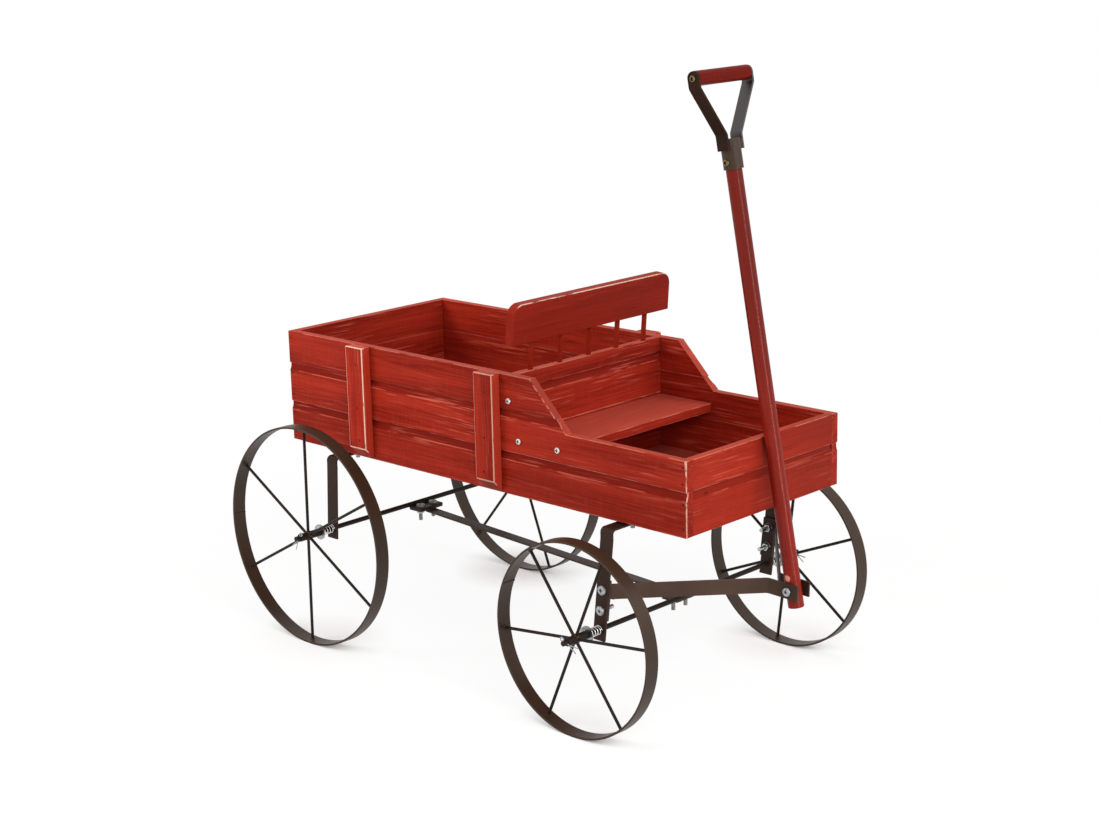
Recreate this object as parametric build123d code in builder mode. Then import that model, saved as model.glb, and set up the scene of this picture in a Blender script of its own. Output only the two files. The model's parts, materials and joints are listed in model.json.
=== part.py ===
from build123d import *
import os
from itertools import pairwise
from math import asin, atan2, ceil, cos, hypot, pi, radians, sin, sqrt, tan

os.makedirs("parts", exist_ok=True)

# A wagon planter: two planting boxes with a seat between them, on four wheels of strip steel, with
# a hinged pull handle. Millimetres. +X runs to the front, +Y to the wagon's left and +Z up. The
# origin lies on the ground under the middle of the whole wagon.

# Body of boards. Every board but the top one of a wall has a cove along its upper outer edge.
body_length = 538.0
body_width = 220.0
body_clearance = 195.0
board_thickness = 8.5
board_face = 33.2
cove_height = 8.0
cove_depth = 1.5
cove_sagitta = 0.8
front_box_height = 70.0
front_rim_length = 144.0
slope_run = 45.0

# Floor boards run along the body, a little lower than the walls, with a gap between them and drain
# holes in each box. The divider between the boxes is housed in a groove across them.
floor_thickness = 8.5
floor_drop = 4.0
floor_gap = 2.0
divider_groove = 2.0
drain_diameter = 8.0
rear_drains = 3
front_drains = 2

# Upright battens on the sides, bevelled at the foot
batten_width = 24.5
batten_thickness = 11.0
batten_bevel = 11.5
rear_batten_setback = 115.0
front_batten_setback = 23.7

# Seat board and seat back. The seat height is measured from the underside of the body.
seat_back_setback = 27.5
seat_height = 57.8
seat_depth = 66.0
seat_back_cap = 14.5

# Backrest rail on five spindles, which lean forwards a little
rail_length = 220.0
rail_height = 38.5
rail_thickness = 10.0
rail_corner = 12.0
rail_rise = 28.2
backrest_lean = 5.0
spindle_diameter = 5.0
spindle_count = 5
spindle_pitch = 40.0
socket_depth = 9.0

# Wood screws through the sides into the seat and the seat back
screw_diameter = 3.0
screw_length = 24.0
screw_head = 6.0
screw_head_height = 1.8
seat_screw_inset = 8.0
back_screw_height = 90.6

# Wheels and axles. The setbacks are measured from the end faces of the body.
rear_wheel_diameter = 228.4
front_wheel_diameter = 185.0
rear_axle_setback = 71.5
front_axle_setback = 94.0
wheel_track = 311.0
rim_width = 15.0
rim_thickness = 2.0
spoke_diameter = 3.0
spoke_count = 6
hub_diameter = 8.0
hub_outer_reach = 11.0
hub_inner_reach = 14.5
axle_diameter = 5.0
axle_overhang = 4.4

# How far each wheel has rolled: the angle of its first spoke from +X towards +Z
rear_right_spoke_angle = 29.0
rear_left_spoke_angle = 50.0
front_right_spoke_angle = 6.5
front_left_spoke_angle = 22.8

# Clearances: parts that turn, parts that are fixed, hub ends, the pole between the drawbar arms
running_clearance = 0.08
fit_clearance = 0.05
end_clearance = 0.3
pole_side_clearance = 0.4
rest_clearance = 0.3

# Springs on the axles, the washers that they press on and the split pins outside the hubs
spring_diameter = 9.0
spring_wire = 1.0
spring_length = 16.0
spring_turns = 5
spring_lead = 1.75
lead_angle = 45.0
washer_diameter = 16.0
washer_thickness = 1.2
pin_diameter = 1.6
pin_wire = 1.0
pin_eye = 3.6
rear_pin_angle = 35.0
front_pin_angle = -68.0
pin_splay = 16.0
pin_leg = 11.0
pin_stand = 1.2

# Strip steel for brackets, drawbar arms and yoke arms
strip_width = 14.5
yoke_strip_width = 13.0
strip_thickness = 2.0
strip_bend = 5.0

# Brackets: an inverted U under the body, whose legs lean back to the axle
bracket_stub = 10.0
bracket_bolt_inset = 14.0
leg_tail = 11.0
rear_lean = 4.0
front_lean = 10.5

# Reach bar between the axles. Plates welded to the axles and to the bar are bolted together.
plate_length = 17.5
plate_width = 32.0
plate_thickness = 2.0
plate_drop = 1.5
reach_width = 12.0
reach_thickness = 2.0
reach_lap = 3.0
reach_rod_gap = 0.5
reach_bolt_setback = 9.5
reach_bolt_spread = 18.0

# Drawbar arms from the front bracket down to the handle pivot. Rises are measured from the axle.
drawbar_rise = 38.8
pivot_rise = 34.5
drawbar_bolt_pitch = 20.0
flange_margin = 10.0
arm_knee = 0.5
arm_parallel = 34.0
pivot_overhang = 33.0
tip_margin = 11.0

# Bolts and nuts
bolt_diameter = 4.0
bolt_head = 9.0
bolt_head_height = 2.2
nut_flats = 7.0
nut_thickness = 3.2
bracket_bolt_length = 16.5
drawbar_bolt_length = 16.0
reach_bolt_length = 15.0
pivot_diameter = 5.0
pivot_head = 8.6
pivot_head_height = 2.4
pivot_nut_flats = 8.0
pivot_nut_thickness = 4.0
pivot_end = 1.5
socket_head = 6.0
socket_head_height = 1.5
socket_flats = 3.2
socket_depth_in_head = 1.3
cross_length = 3.6
cross_width = 1.2
cross_depth = 1.1

# Handle: pole, ferrule, yoke and grip. Lengths along the pole.
pole_diameter = 14.8
pole_length = 425.5
pole_tail = 17.0
pole_end_round = 1.0
ferrule_wall = 1.6
ferrule_length = 27.0
ferrule_lip = 1.5
ferrule_screw_inset = 6.3
ferrule_screw_length = 11.0
lug_length = 14.0
lug_rise = 4.0
yoke_rise = 43.4
yoke_width = 75.5
yoke_top_round = 6.2
grip_diameter = 13.5
grip_screw_length = 18.0

# Places along the wagon, worked out from the sizes above
sides = {"right": -1, "left": 1}
levels = ("lower", "middle", "upper")
floor_foot = body_clearance - floor_drop
leg_top = floor_foot - bracket_stub
leg_height = leg_top - front_wheel_diameter / 2
arm_run = pivot_overhang + front_axle_setback - front_lean * drawbar_rise / leg_height
arm_tilt = atan2(drawbar_rise - pivot_rise, arm_run)
tip_overhang = pivot_overhang + tip_margin * cos(arm_tilt) + strip_width / 2 * sin(arm_tilt)
rear_overhang = rear_wheel_diameter / 2 - rear_axle_setback
body_rear = (rear_overhang - body_length - tip_overhang) / 2
body_front = body_rear + body_length
slope_foot = body_front - front_rim_length
slope_top = slope_foot - slope_run
seat_back_x = slope_top - seat_back_setback
seat_back_face = seat_back_x + board_thickness / 2
rear_axle = Vector(body_rear + rear_axle_setback, 0, rear_wheel_diameter / 2)
front_axle = Vector(body_front - front_axle_setback, 0, front_wheel_diameter / 2)

# Heights
board_pitch = board_face + cove_height
wall_height = (len(levels) - 1) * board_pitch + board_face
wall_top = body_clearance + wall_height
rim_top = body_clearance + front_box_height
floor_top = floor_foot + floor_thickness
seat_back_foot = wall_height - seat_back_cap - board_pitch
drawbar_height = front_axle.Z + drawbar_rise
pivot_height = front_axle.Z + pivot_rise

# Widths
inner_half = body_width / 2 - board_thickness
arm_half = pole_diameter / 2 + pole_side_clearance + strip_thickness / 2
arm_outer = arm_half + strip_thickness / 2
hub_inner = wheel_track / 2 - hub_inner_reach
hub_outer = wheel_track / 2 + hub_outer_reach
washer_outer = hub_inner - end_clearance
bracket_half = washer_outer - washer_thickness - spring_length
flange_half = bracket_half - 1.5 * strip_thickness
pin_place = hub_outer + end_clearance + pin_diameter / 2
axle_length = 2 * (pin_place + axle_overhang)

# The pole leans on the front box's rim, so its lean follows from the rim and the pivot.
pivot = Vector(body_front + pivot_overhang, 0, pivot_height)
rim_rise = rim_top - pivot_height
rim_reach = hypot(pivot_overhang, rim_rise)
pole_lean = atan2(pivot_overhang, rim_rise) - asin((pole_diameter / 2 + rest_clearance) / rim_reach)
pole_axis = Vector(-sin(pole_lean), 0, cos(pole_lean))
pole_forward = Vector(cos(pole_lean), 0, sin(pole_lean))
pole_plane = Plane(origin=pivot, x_dir=pole_forward, z_dir=pole_axis)
yoke_plane = Plane(origin=pivot, x_dir=(0, 1, 0), z_dir=pole_forward)
pole_top = pole_length - pole_tail
ferrule_top = pole_top + ferrule_lip
ferrule_foot = ferrule_top - ferrule_length
ferrule_radius = pole_diameter / 2 + fit_clearance + ferrule_wall
yoke_half = yoke_width / 2
yoke_middle = yoke_half - strip_thickness / 2
lug_middle = ferrule_radius + fit_clearance + strip_thickness / 2
lug_top = ferrule_top + lug_rise
yoke_slant = atan2(yoke_middle - lug_middle, yoke_rise)
yoke_bend_end = lug_top + yoke_rise + strip_bend * tan(yoke_slant / 2)
grip_height = yoke_bend_end + end_clearance + grip_diameter / 2
grip_centre = pivot + pole_axis * grip_height


def leg_x(axle, lean, height):
    """The middle of a leaning bracket leg at a height above the ground."""
    return axle.X + lean * (height - axle.Z) / (leg_top - axle.Z)


def side_seat(x, y, z):
    """A plane on a side of the wagon, looking outwards."""
    return Plane(origin=(x, y, z), x_dir=(1, 0, 0), z_dir=(0, 1 if y > 0 else -1, 0))


# Where fasteners sit. Each plane lies under a head and looks outwards.
screw_seats = []
for side in sides.values():
    for screw_x in (seat_back_face + seat_screw_inset, seat_back_face + seat_depth - seat_screw_inset):
        screw_z = body_clearance + seat_height - board_thickness / 2
        screw_seats.append(side_seat(screw_x, side * body_width / 2, screw_z))
    screw_seats.append(side_seat(seat_back_x, side * body_width / 2, body_clearance + back_screw_height))

bracket_bolt_seats = []
for axle, lean in ((rear_axle, rear_lean), (front_axle, front_lean)):
    for side in sides.values():
        bolt_place = (axle.X + lean, side * (inner_half - bracket_bolt_inset), floor_top)
        bracket_bolt_seats.append(Plane(origin=bolt_place, z_dir=(0, 0, 1)))

drawbar_bolt_seats = []
for side in sides.values():
    for bolt_z in (drawbar_height, drawbar_height - drawbar_bolt_pitch):
        bolt_x = leg_x(front_axle, front_lean, bolt_z)
        drawbar_bolt_seats.append(side_seat(bolt_x, side * bracket_half, bolt_z))

rear_plate_top = rear_axle.Z - plate_drop
rear_lap = rear_plate_top - plate_thickness
front_plate_top = front_axle.Z - plate_drop
front_lap = front_plate_top
reach_bolt_seats = []
for side in sides.values():
    bolt_y = side * reach_bolt_spread / 2
    rear_place = (rear_axle.X + reach_bolt_setback, bolt_y, rear_plate_top)
    front_place = (front_axle.X - reach_bolt_setback, bolt_y, front_lap + plate_thickness)
    reach_bolt_seats.append(Plane(origin=rear_place, z_dir=(0, 0, 1)))
    reach_bolt_seats.append(Plane(origin=front_place, z_dir=(0, 0, 1)))

pivot_seat = side_seat(pivot.X, -arm_outer, pivot.Z)
pivot_length = 2 * arm_outer + pivot_nut_thickness + pivot_end
ferrule_screw_place = pivot + pole_axis * (ferrule_foot + ferrule_screw_inset)
ferrule_seat = side_seat(ferrule_screw_place.X, -ferrule_radius, ferrule_screw_place.Z)
grip_seats = [side_seat(grip_centre.X, side * yoke_half, grip_centre.Z) for side in sides.values()]


def save(piece, name):
    """Name a finished piece and write it."""
    piece.part.label = name
    export_step(piece.part, f"parts/{name}.step")


def headed_bolt(seat, diameter, length, head, head_height, socket=False):
    """A bolt or screw with its head on a seat plane, with a cross recess or a hexagon socket."""
    with BuildPart() as bolt:
        with BuildSketch(seat):
            Circle(head / 2)
        extrude(amount=head_height)
        top_rim = bolt.faces().sort_by(Axis(seat.origin, seat.z_dir))[-1].edges()
        fillet(top_rim, head_height / 2)
        with BuildSketch(seat.offset(head_height)):
            if socket:
                RegularPolygon(socket_flats / 2, 6, major_radius=False)
            else:
                Rectangle(cross_length, cross_width)
                Rectangle(cross_width, cross_length)
        extrude(amount=-(socket_depth_in_head if socket else cross_depth), mode=Mode.SUBTRACT)
        with BuildSketch(seat):
            Circle(diameter / 2)
        extrude(amount=-length)
    return bolt.part


def hex_nut(seat, grip, diameter, flats, thickness):
    """A nut on a bolt, as far below the bolt's seat as the pieces that it grips are thick."""
    with BuildPart() as nut:
        with BuildSketch(seat.offset(-grip - thickness)):
            RegularPolygon(flats / 2, 6, major_radius=False)
            Circle(diameter / 2 + fit_clearance, mode=Mode.SUBTRACT)
        extrude(amount=thickness)
    return nut.part


def wall_board(wall, length, foot, face, coved, shaped=False):
    """A board of a wall, whose plane has local x inwards and local y up from the underside.

    A shaped board belongs to a side wall, which drops by a slope to the front box's rim and has
    holes for the seat's screws.
    """
    edge = foot + face
    top = edge + cove_height
    with BuildPart() as board:
        with BuildSketch(wall):
            with BuildLine():
                outer_edge = ((0, edge), (0, foot))
                if coved:
                    inner_edge = ((board_thickness, foot), (board_thickness, top))
                    Polyline(*outer_edge, *inner_edge, (cove_depth, top))
                    SagittaArc((cove_depth, top), (0, edge), cove_sagitta)
                else:
                    inner_edge = ((board_thickness, foot), (board_thickness, edge))
                    Polyline(*outer_edge, *inner_edge, close=True)
            make_face()
        extrude(amount=length)
        if shaped:
            with BuildSketch(Plane.XZ):
                with BuildLine():
                    slope = ((slope_top, wall_top), (slope_foot, rim_top))
                    Polyline(*slope, (body_front, rim_top), (body_front, wall_top), close=True)
                make_face()
            extrude(amount=body_width, both=True, mode=Mode.SUBTRACT)
        with Locations(*screw_seats):
            Hole(screw_diameter / 2 + fit_clearance, screw_length)
    return board


# Walls of the body
side_planes = {
    "right": Plane(origin=(body_rear, -body_width / 2, body_clearance), x_dir=(0, 1, 0), z_dir=(1, 0, 0)),
    "left": Plane(origin=(body_front, body_width / 2, body_clearance), x_dir=(0, -1, 0), z_dir=(-1, 0, 0)),
}
rear_plane = Plane(origin=(body_rear, inner_half, body_clearance), x_dir=(1, 0, 0), z_dir=(0, -1, 0))
front_plane = Plane(origin=(body_front, -inner_half, body_clearance), x_dir=(-1, 0, 0), z_dir=(0, 1, 0))
back_plane = Plane(origin=(seat_back_face, -inner_half, body_clearance), x_dir=(-1, 0, 0), z_dir=(0, 1, 0))

for level, level_name in enumerate(levels):
    coved = level < len(levels) - 1
    foot = level * board_pitch
    for side_name, plane in side_planes.items():
        side_board = wall_board(plane, body_length, foot, board_face, coved, shaped=True)
        save(side_board, f"side_{side_name}_{level_name}_board")
    rear_board = wall_board(rear_plane, 2 * inner_half, foot, board_face, coved)
    save(rear_board, f"rear_wall_{level_name}_board")

front_lower_board = wall_board(front_plane, 2 * inner_half, 0, board_face, True)
save(front_lower_board, "front_wall_lower_board")
front_upper_face = front_box_height - board_pitch
front_upper_board = wall_board(front_plane, 2 * inner_half, board_pitch, front_upper_face, False)
save(front_upper_board, "front_wall_upper_board")

# Divider between the boxes, which stands in the floor's groove, with the seat back on top of it
divider_foot = floor_thickness - floor_drop - divider_groove
divider_height = seat_back_foot - divider_foot
divider_board = wall_board(back_plane, 2 * inner_half, divider_foot, divider_height, False)
save(divider_board, "divider_lower_board")
seat_back_lower = wall_board(back_plane, 2 * inner_half, seat_back_foot, board_face, True)
save(seat_back_lower, "seat_back_lower_board")

# The spindles stand on a plane that leans with the backrest
back_slant = radians(backrest_lean)
back_middle = (seat_back_x, 0, wall_top)
spindle_axis = (sin(back_slant), 0, cos(back_slant))
rail_forward = (cos(back_slant), 0, -sin(back_slant))
spindle_plane = Plane(origin=back_middle, x_dir=(0, 1, 0), z_dir=spindle_axis)
rail_plane = Plane(origin=back_middle, x_dir=(0, 1, 0), z_dir=rail_forward)
spindle_middle = (spindle_count - 1) / 2
spindle_places = [((index - spindle_middle) * spindle_pitch, 0) for index in range(spindle_count)]
with BuildPart() as seat_back_upper:
    with BuildSketch(Plane.XY.offset(wall_top - seat_back_cap)):
        with Locations((seat_back_x, 0)):
            Rectangle(board_thickness, 2 * inner_half)
    extrude(amount=seat_back_cap)
    with BuildSketch(spindle_plane.offset(-socket_depth)):
        with Locations(*spindle_places):
            Circle(spindle_diameter / 2 + fit_clearance)
    extrude(amount=2 * socket_depth, mode=Mode.SUBTRACT)
save(seat_back_upper, "seat_back_upper_board")

with BuildPart() as seat_board:
    with BuildSketch(Plane.XY.offset(body_clearance + seat_height - board_thickness)):
        with Locations((seat_back_face + seat_depth / 2, 0)):
            Rectangle(seat_depth, 2 * inner_half)
    extrude(amount=board_thickness)
    with Locations(*screw_seats):
        Hole(screw_diameter / 2 + fit_clearance, screw_length)
save(seat_board, "seat_board")

# Backrest
with BuildPart() as backrest_rail:
    with BuildSketch(rail_plane):
        with Locations((0, rail_rise + rail_height / 2)):
            Rectangle(rail_length, rail_height)
        fillet(vertices().group_by(Axis.Y)[-1], rail_corner)
    extrude(amount=rail_thickness / 2, both=True)
    with BuildSketch(spindle_plane.offset(rail_rise)):
        with Locations(*spindle_places):
            Circle(spindle_diameter / 2 + fit_clearance)
    extrude(amount=socket_depth, mode=Mode.SUBTRACT)
save(backrest_rail, "backrest_rail")

with BuildPart() as backrest_spindles:
    with BuildSketch(spindle_plane.offset(-socket_depth)):
        with Locations(*spindle_places):
            Circle(spindle_diameter / 2)
    extrude(amount=rail_rise + 2 * socket_depth)
save(backrest_spindles, "backrest_spindles")

# Floor boards between the walls
floor_names = ("right", "middle", "left")
floor_length = body_length - 2 * board_thickness
floor_board_width = (2 * inner_half - (len(floor_names) - 1) * floor_gap) / len(floor_names)
rear_box_length = seat_back_face - board_thickness - (body_rear + board_thickness)
front_box_length = body_front - board_thickness - seat_back_face
rear_box_middle = body_rear + board_thickness + rear_box_length / 2
front_box_middle = seat_back_face + front_box_length / 2
for index, floor_name in enumerate(floor_names):
    floor_y = index * (floor_board_width + floor_gap) - inner_half + floor_board_width / 2
    with BuildPart() as floor_board:
        with BuildSketch(Plane.XY.offset(floor_foot)):
            with Locations((body_rear + body_length / 2, floor_y)):
                Rectangle(floor_length, floor_board_width)
            with Locations((rear_box_middle, floor_y)):
                with GridLocations(rear_box_length / rear_drains, 0, rear_drains, 1):
                    Circle(drain_diameter / 2, mode=Mode.SUBTRACT)
            with Locations((front_box_middle, floor_y)):
                with GridLocations(front_box_length / front_drains, 0, front_drains, 1):
                    Circle(drain_diameter / 2, mode=Mode.SUBTRACT)
        extrude(amount=floor_thickness)
        with BuildSketch(Plane.XY.offset(floor_top)):
            with Locations((seat_back_x, floor_y)):
                Rectangle(board_thickness + 2 * fit_clearance, floor_board_width)
        extrude(amount=-divider_groove, mode=Mode.SUBTRACT)
        with Locations(*bracket_bolt_seats):
            Hole(bolt_diameter / 2 + fit_clearance, bracket_bolt_length)
    save(floor_board, f"floor_board_{floor_name}")

# Battens
batten_places = {"rear": body_rear + rear_batten_setback, "front": seat_back_x - front_batten_setback}
for side_name, side in sides.items():
    for end_name, batten_x in batten_places.items():
        batten_origin = (batten_x, side * body_width / 2, body_clearance)
        with BuildPart() as batten:
            with BuildSketch(Plane(origin=batten_origin, x_dir=(0, side, 0), z_dir=(side, 0, 0))):
                with BuildLine():
                    outer_edge = ((batten_thickness, batten_bevel), (batten_thickness, wall_height))
                    Polyline((0, 0), *outer_edge, (0, wall_height), close=True)
                make_face()
            extrude(amount=batten_width / 2, both=True)
        save(batten, f"batten_{side_name}_{end_name}")

with BuildPart() as seat_screws:
    add([headed_bolt(seat, screw_diameter, screw_length, screw_head, screw_head_height)
         for seat in screw_seats])
save(seat_screws, "seat_screws")


def leg_bracket(axle, lean, bolt_seats):
    """A strip bent to an inverted U, with legs that lean back from the body to the axle."""
    top_x = axle.X + lean
    leg_drop = leg_top - axle.Z + leg_tail
    leg_run = top_x - leg_x(axle, lean, axle.Z - leg_tail)
    strip_half = bracket_half - strip_thickness / 2
    strip_level = floor_foot - strip_thickness / 2
    with BuildPart() as bracket:
        with BuildSketch(Plane.YZ.offset(top_x)):
            with BuildLine():
                corners = ((-strip_half, strip_level), (strip_half, strip_level))
                bend = strip_bend - strip_thickness / 2
                FilletPolyline((-strip_half, leg_top), *corners, (strip_half, leg_top), radius=bend)
            trace(line_width=strip_thickness)
        extrude(amount=strip_width / 2, both=True)
        with BuildSketch(Plane.XY.offset(leg_top)):
            with Locations((top_x, -strip_half), (top_x, strip_half)):
                Rectangle(strip_width, strip_thickness)
        extrude(amount=hypot(leg_run, leg_drop), dir=(-leg_run, 0, -leg_drop))
        with Locations(side_seat(axle.X, bracket_half, axle.Z)):
            Hole(axle_diameter / 2 + fit_clearance, 2 * bracket_half)
        with Locations(*bolt_seats):
            Hole(bolt_diameter / 2 + fit_clearance, bracket_bolt_length)
    return bracket


rear_bracket = leg_bracket(rear_axle, rear_lean, bracket_bolt_seats)
save(rear_bracket, "rear_bracket")
front_bracket = leg_bracket(front_axle, front_lean, bracket_bolt_seats + drawbar_bolt_seats)
save(front_bracket, "front_bracket")

with BuildPart() as bracket_bolts:
    add([headed_bolt(seat, bolt_diameter, bracket_bolt_length, bolt_head, bolt_head_height)
         for seat in bracket_bolt_seats])
save(bracket_bolts, "bracket_bolts")

pin_reach = axle_diameter / 2 + pin_stand


def pin_way(slant):
    """The direction of a split pin, from its legs to its eye, at a slant from upright."""
    return Vector(sin(slant), 0, cos(slant))


def split_pin(centre, slant):
    """A split pin through the axle: an eye on one side, and two legs spread apart on the other."""
    pin_up = pin_way(slant)
    with BuildPart() as pin:
        with BuildSketch(Plane(origin=centre - pin_up * pin_reach, z_dir=pin_up)):
            Circle(pin_diameter / 2)
        extrude(amount=2 * pin_reach)
        eye_centre = centre + pin_up * (pin_reach + pin_eye / 2)
        with Locations(Plane(origin=eye_centre, x_dir=pin_up, z_dir=(0, 1, 0))):
            Torus(pin_eye / 2, pin_wire / 2)
        for splay in (-pin_splay, pin_splay):
            leg_way = pin_way(slant + radians(splay))
            leg_start = centre - pin_up * (pin_reach - pin_wire / 2)
            with BuildSketch(Plane(origin=leg_start, z_dir=-leg_way)):
                Circle(pin_wire / 2)
            extrude(amount=pin_leg)
    return pin.part


def wheel_axle(axle, plate_side, slant):
    """An axle rod with its welded plate, ahead of the rear axle or behind the front one."""
    with BuildPart() as rod:
        with BuildSketch(Plane.XZ):
            with Locations((axle.X, axle.Z)):
                Circle(axle_diameter / 2)
        extrude(amount=axle_length / 2, both=True)
        with BuildSketch(Plane.XY.offset(axle.Z - plate_drop - plate_thickness)):
            with Locations((axle.X + plate_side * plate_length / 2, 0)):
                Rectangle(plate_length, plate_width)
        extrude(amount=plate_thickness)
        with Locations(*reach_bolt_seats):
            Hole(bolt_diameter / 2 + fit_clearance, reach_bolt_length)
        for side in sides.values():
            pin_head = axle + Vector(0, side * pin_place, 0) + pin_way(slant) * axle_diameter
            with Locations(Plane(origin=pin_head, z_dir=pin_way(slant))):
                Hole(pin_diameter / 2 + fit_clearance, 2 * axle_diameter)
    return rod


save(wheel_axle(rear_axle, 1, radians(rear_pin_angle)), "rear_axle")
save(wheel_axle(front_axle, -1, radians(front_pin_angle)), "front_axle")

# Reach bar: it laps under its rear plate and ends flush in its front plate.
with BuildPart() as reach_bar:
    rear_plate_end = rear_axle.X + plate_length
    front_plate_end = front_axle.X - plate_length
    front_plate_stop = front_axle.X - axle_diameter / 2 - reach_rod_gap
    bar_rear = rear_lap - plate_thickness
    bar_front = front_lap + plate_thickness
    with BuildSketch(Plane.XZ):
        with BuildLine():
            front_lip = front_plate_end + reach_lap
            rear_lip = rear_plate_end - reach_lap
            front_under = bar_front - reach_thickness
            rear_under = bar_rear - reach_thickness
            upper_edge = ((rear_plate_end, bar_rear), (front_plate_end, bar_front))
            front_end = ((front_lip, bar_front), (front_lip, front_under))
            lower_edge = ((front_plate_end, front_under), (rear_plate_end, rear_under))
            rear_end = ((rear_lip, rear_under), (rear_lip, bar_rear))
            Polyline(*upper_edge, *front_end, *lower_edge, *rear_end, close=True)
        make_face()
    extrude(amount=reach_width / 2, both=True)
    with BuildSketch(Plane.XY.offset(bar_rear)):
        with Locations(((rear_axle.X + rear_plate_end) / 2, 0)):
            Rectangle(plate_length, plate_width)
    extrude(amount=plate_thickness)
    with BuildSketch(Plane.XY.offset(front_lap)):
        with Locations(((front_plate_end + front_plate_stop) / 2, 0)):
            Rectangle(front_plate_stop - front_plate_end, plate_width)
    extrude(amount=plate_thickness)
    with Locations(*reach_bolt_seats):
        Hole(bolt_diameter / 2 + fit_clearance, reach_bolt_length)
save(reach_bar, "reach_bar")

with BuildPart() as reach_bar_bolts:
    add([headed_bolt(seat, bolt_diameter, reach_bolt_length, bolt_head, bolt_head_height)
         for seat in reach_bolt_seats])
save(reach_bar_bolts, "reach_bar_bolts")

# Drawbar arms: a flange on the bracket leg and a strip that runs in to the pole
flange_foot = drawbar_height - drawbar_bolt_pitch - flange_margin
flange_top = drawbar_height + flange_margin
flange_low_x = leg_x(front_axle, front_lean, flange_foot)
flange_high_x = leg_x(front_axle, front_lean, flange_top)
arm_start = leg_x(front_axle, front_lean, drawbar_height)
knee_run = strip_width / 2 + arm_knee
tip_run = arm_run / cos(arm_tilt) + tip_margin
arm_plane = Plane(
    origin=(arm_start, 0, drawbar_height),
    x_dir=(cos(arm_tilt), 0, -sin(arm_tilt)),
    z_dir=(sin(arm_tilt), 0, cos(arm_tilt)),
)
for side_name, side in sides.items():
    with BuildPart() as drawbar_arm:
        with BuildSketch(arm_plane.offset(-strip_width / 2)):
            with BuildLine():
                at_flange = ((0, side * flange_half), (knee_run, side * flange_half))
                at_pole = ((tip_run - arm_parallel, side * arm_half), (tip_run, side * arm_half))
                FilletPolyline(*at_flange, *at_pole, radius=strip_bend)
            trace(line_width=strip_thickness)
        extrude(amount=strip_width)
        with BuildSketch(Plane.XZ.offset(-side * flange_half)):
            with BuildLine():
                half = strip_width / 2
                foot_edge = ((flange_low_x - half, flange_foot), (flange_low_x + half, flange_foot))
                top_edge = ((flange_high_x + half, flange_top), (flange_high_x - half, flange_top))
                Polyline(*foot_edge, *top_edge, close=True)
            make_face()
        extrude(amount=strip_thickness / 2, both=True)
        with Locations(*drawbar_bolt_seats):
            Hole(bolt_diameter / 2 + fit_clearance, drawbar_bolt_length)
        with Locations(pivot_seat):
            Hole(pivot_diameter / 2 + fit_clearance, pivot_length)
    save(drawbar_arm, f"drawbar_arm_{side_name}")

with BuildPart() as drawbar_bolts:
    add([headed_bolt(seat, bolt_diameter, drawbar_bolt_length, bolt_head, bolt_head_height)
         for seat in drawbar_bolt_seats])
save(drawbar_bolts, "drawbar_bolts")

with BuildPart() as pivot_bolt:
    add(headed_bolt(pivot_seat, pivot_diameter, pivot_length, pivot_head, pivot_head_height))
save(pivot_bolt, "pivot_bolt")

# Nuts of the fixed frame
bracket_grip = floor_thickness + strip_thickness
frame_nuts = [hex_nut(pivot_seat, 2 * arm_outer, pivot_diameter, pivot_nut_flats, pivot_nut_thickness)]
for seats, grip in (
    (bracket_bolt_seats, bracket_grip),
    (drawbar_bolt_seats, 2 * strip_thickness),
    (reach_bolt_seats, 2 * plate_thickness),
):
    frame_nuts += [hex_nut(seat, grip, bolt_diameter, nut_flats, nut_thickness) for seat in seats]
with BuildPart() as hex_nuts:
    add(frame_nuts)
save(hex_nuts, "hex_nuts")


def biarc(start, start_dir, end, end_dir):
    """The point and direction where two arcs meet that join two points with given directions."""
    span = end - start
    total_dir = start_dir + end_dir
    along = span.dot(total_dir)
    turn = 2 * (1 - start_dir.dot(end_dir))
    reach = (sqrt(along * along + turn * span.dot(span)) - along) / turn
    first = start + start_dir * reach
    second = end - end_dir * reach
    return (first + second) * 0.5, (second - first).normalized()


# The wire of a spring runs straight off the bracket leg, turns into its coil and runs straight again
# to the washer.
coil_radius = (spring_diameter - spring_wire) / 2
coil_length = spring_length - 2 * (spring_wire + spring_lead)
coil_rise = coil_length / (2 * pi * spring_turns)
quarter_turns = 4 * spring_turns


def axle_spring(axle, side):
    """A coil spring round the axle, from the bracket leg out to the washer."""

    def on_coil(angle, out):
        return Vector(axle.X + coil_radius * cos(angle), side * out, axle.Z + coil_radius * sin(angle))

    def coil_dir(angle):
        return Vector(-coil_radius * sin(angle), side * coil_rise, coil_radius * cos(angle)).normalized()

    lead = radians(lead_angle)
    coil_start = bracket_half + spring_wire + spring_lead
    outwards = Vector(0, side, 0)
    knots = [(on_coil(-lead, bracket_half + spring_wire), outwards)]
    for quarter in range(quarter_turns + 1):
        angle = quarter * pi / 2
        knots.append((on_coil(angle, coil_start + coil_rise * angle), coil_dir(angle)))
    knots.append((on_coil(angle + lead, coil_start + coil_length + spring_lead), outwards))
    wire_start = on_coil(-lead, bracket_half)
    wire_end = on_coil(angle + lead, coil_start + coil_length + spring_lead + spring_wire)
    with BuildPart() as spring:
        with BuildLine() as wire_path:
            Line(wire_start, knots[0][0])
            for (start, start_dir), (end, end_dir) in pairwise(knots):
                meet, meet_dir = biarc(start, start_dir, end, end_dir)
                TangentArc(start, meet, tangent=start_dir)
                TangentArc(meet, end, tangent=meet_dir)
            Line(knots[-1][0], wire_end)
        with BuildSketch(Plane(origin=wire_start, z_dir=outwards)):
            Circle(spring_wire / 2)
        sweep()
    return spring.part, wire_path.wire()


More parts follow.
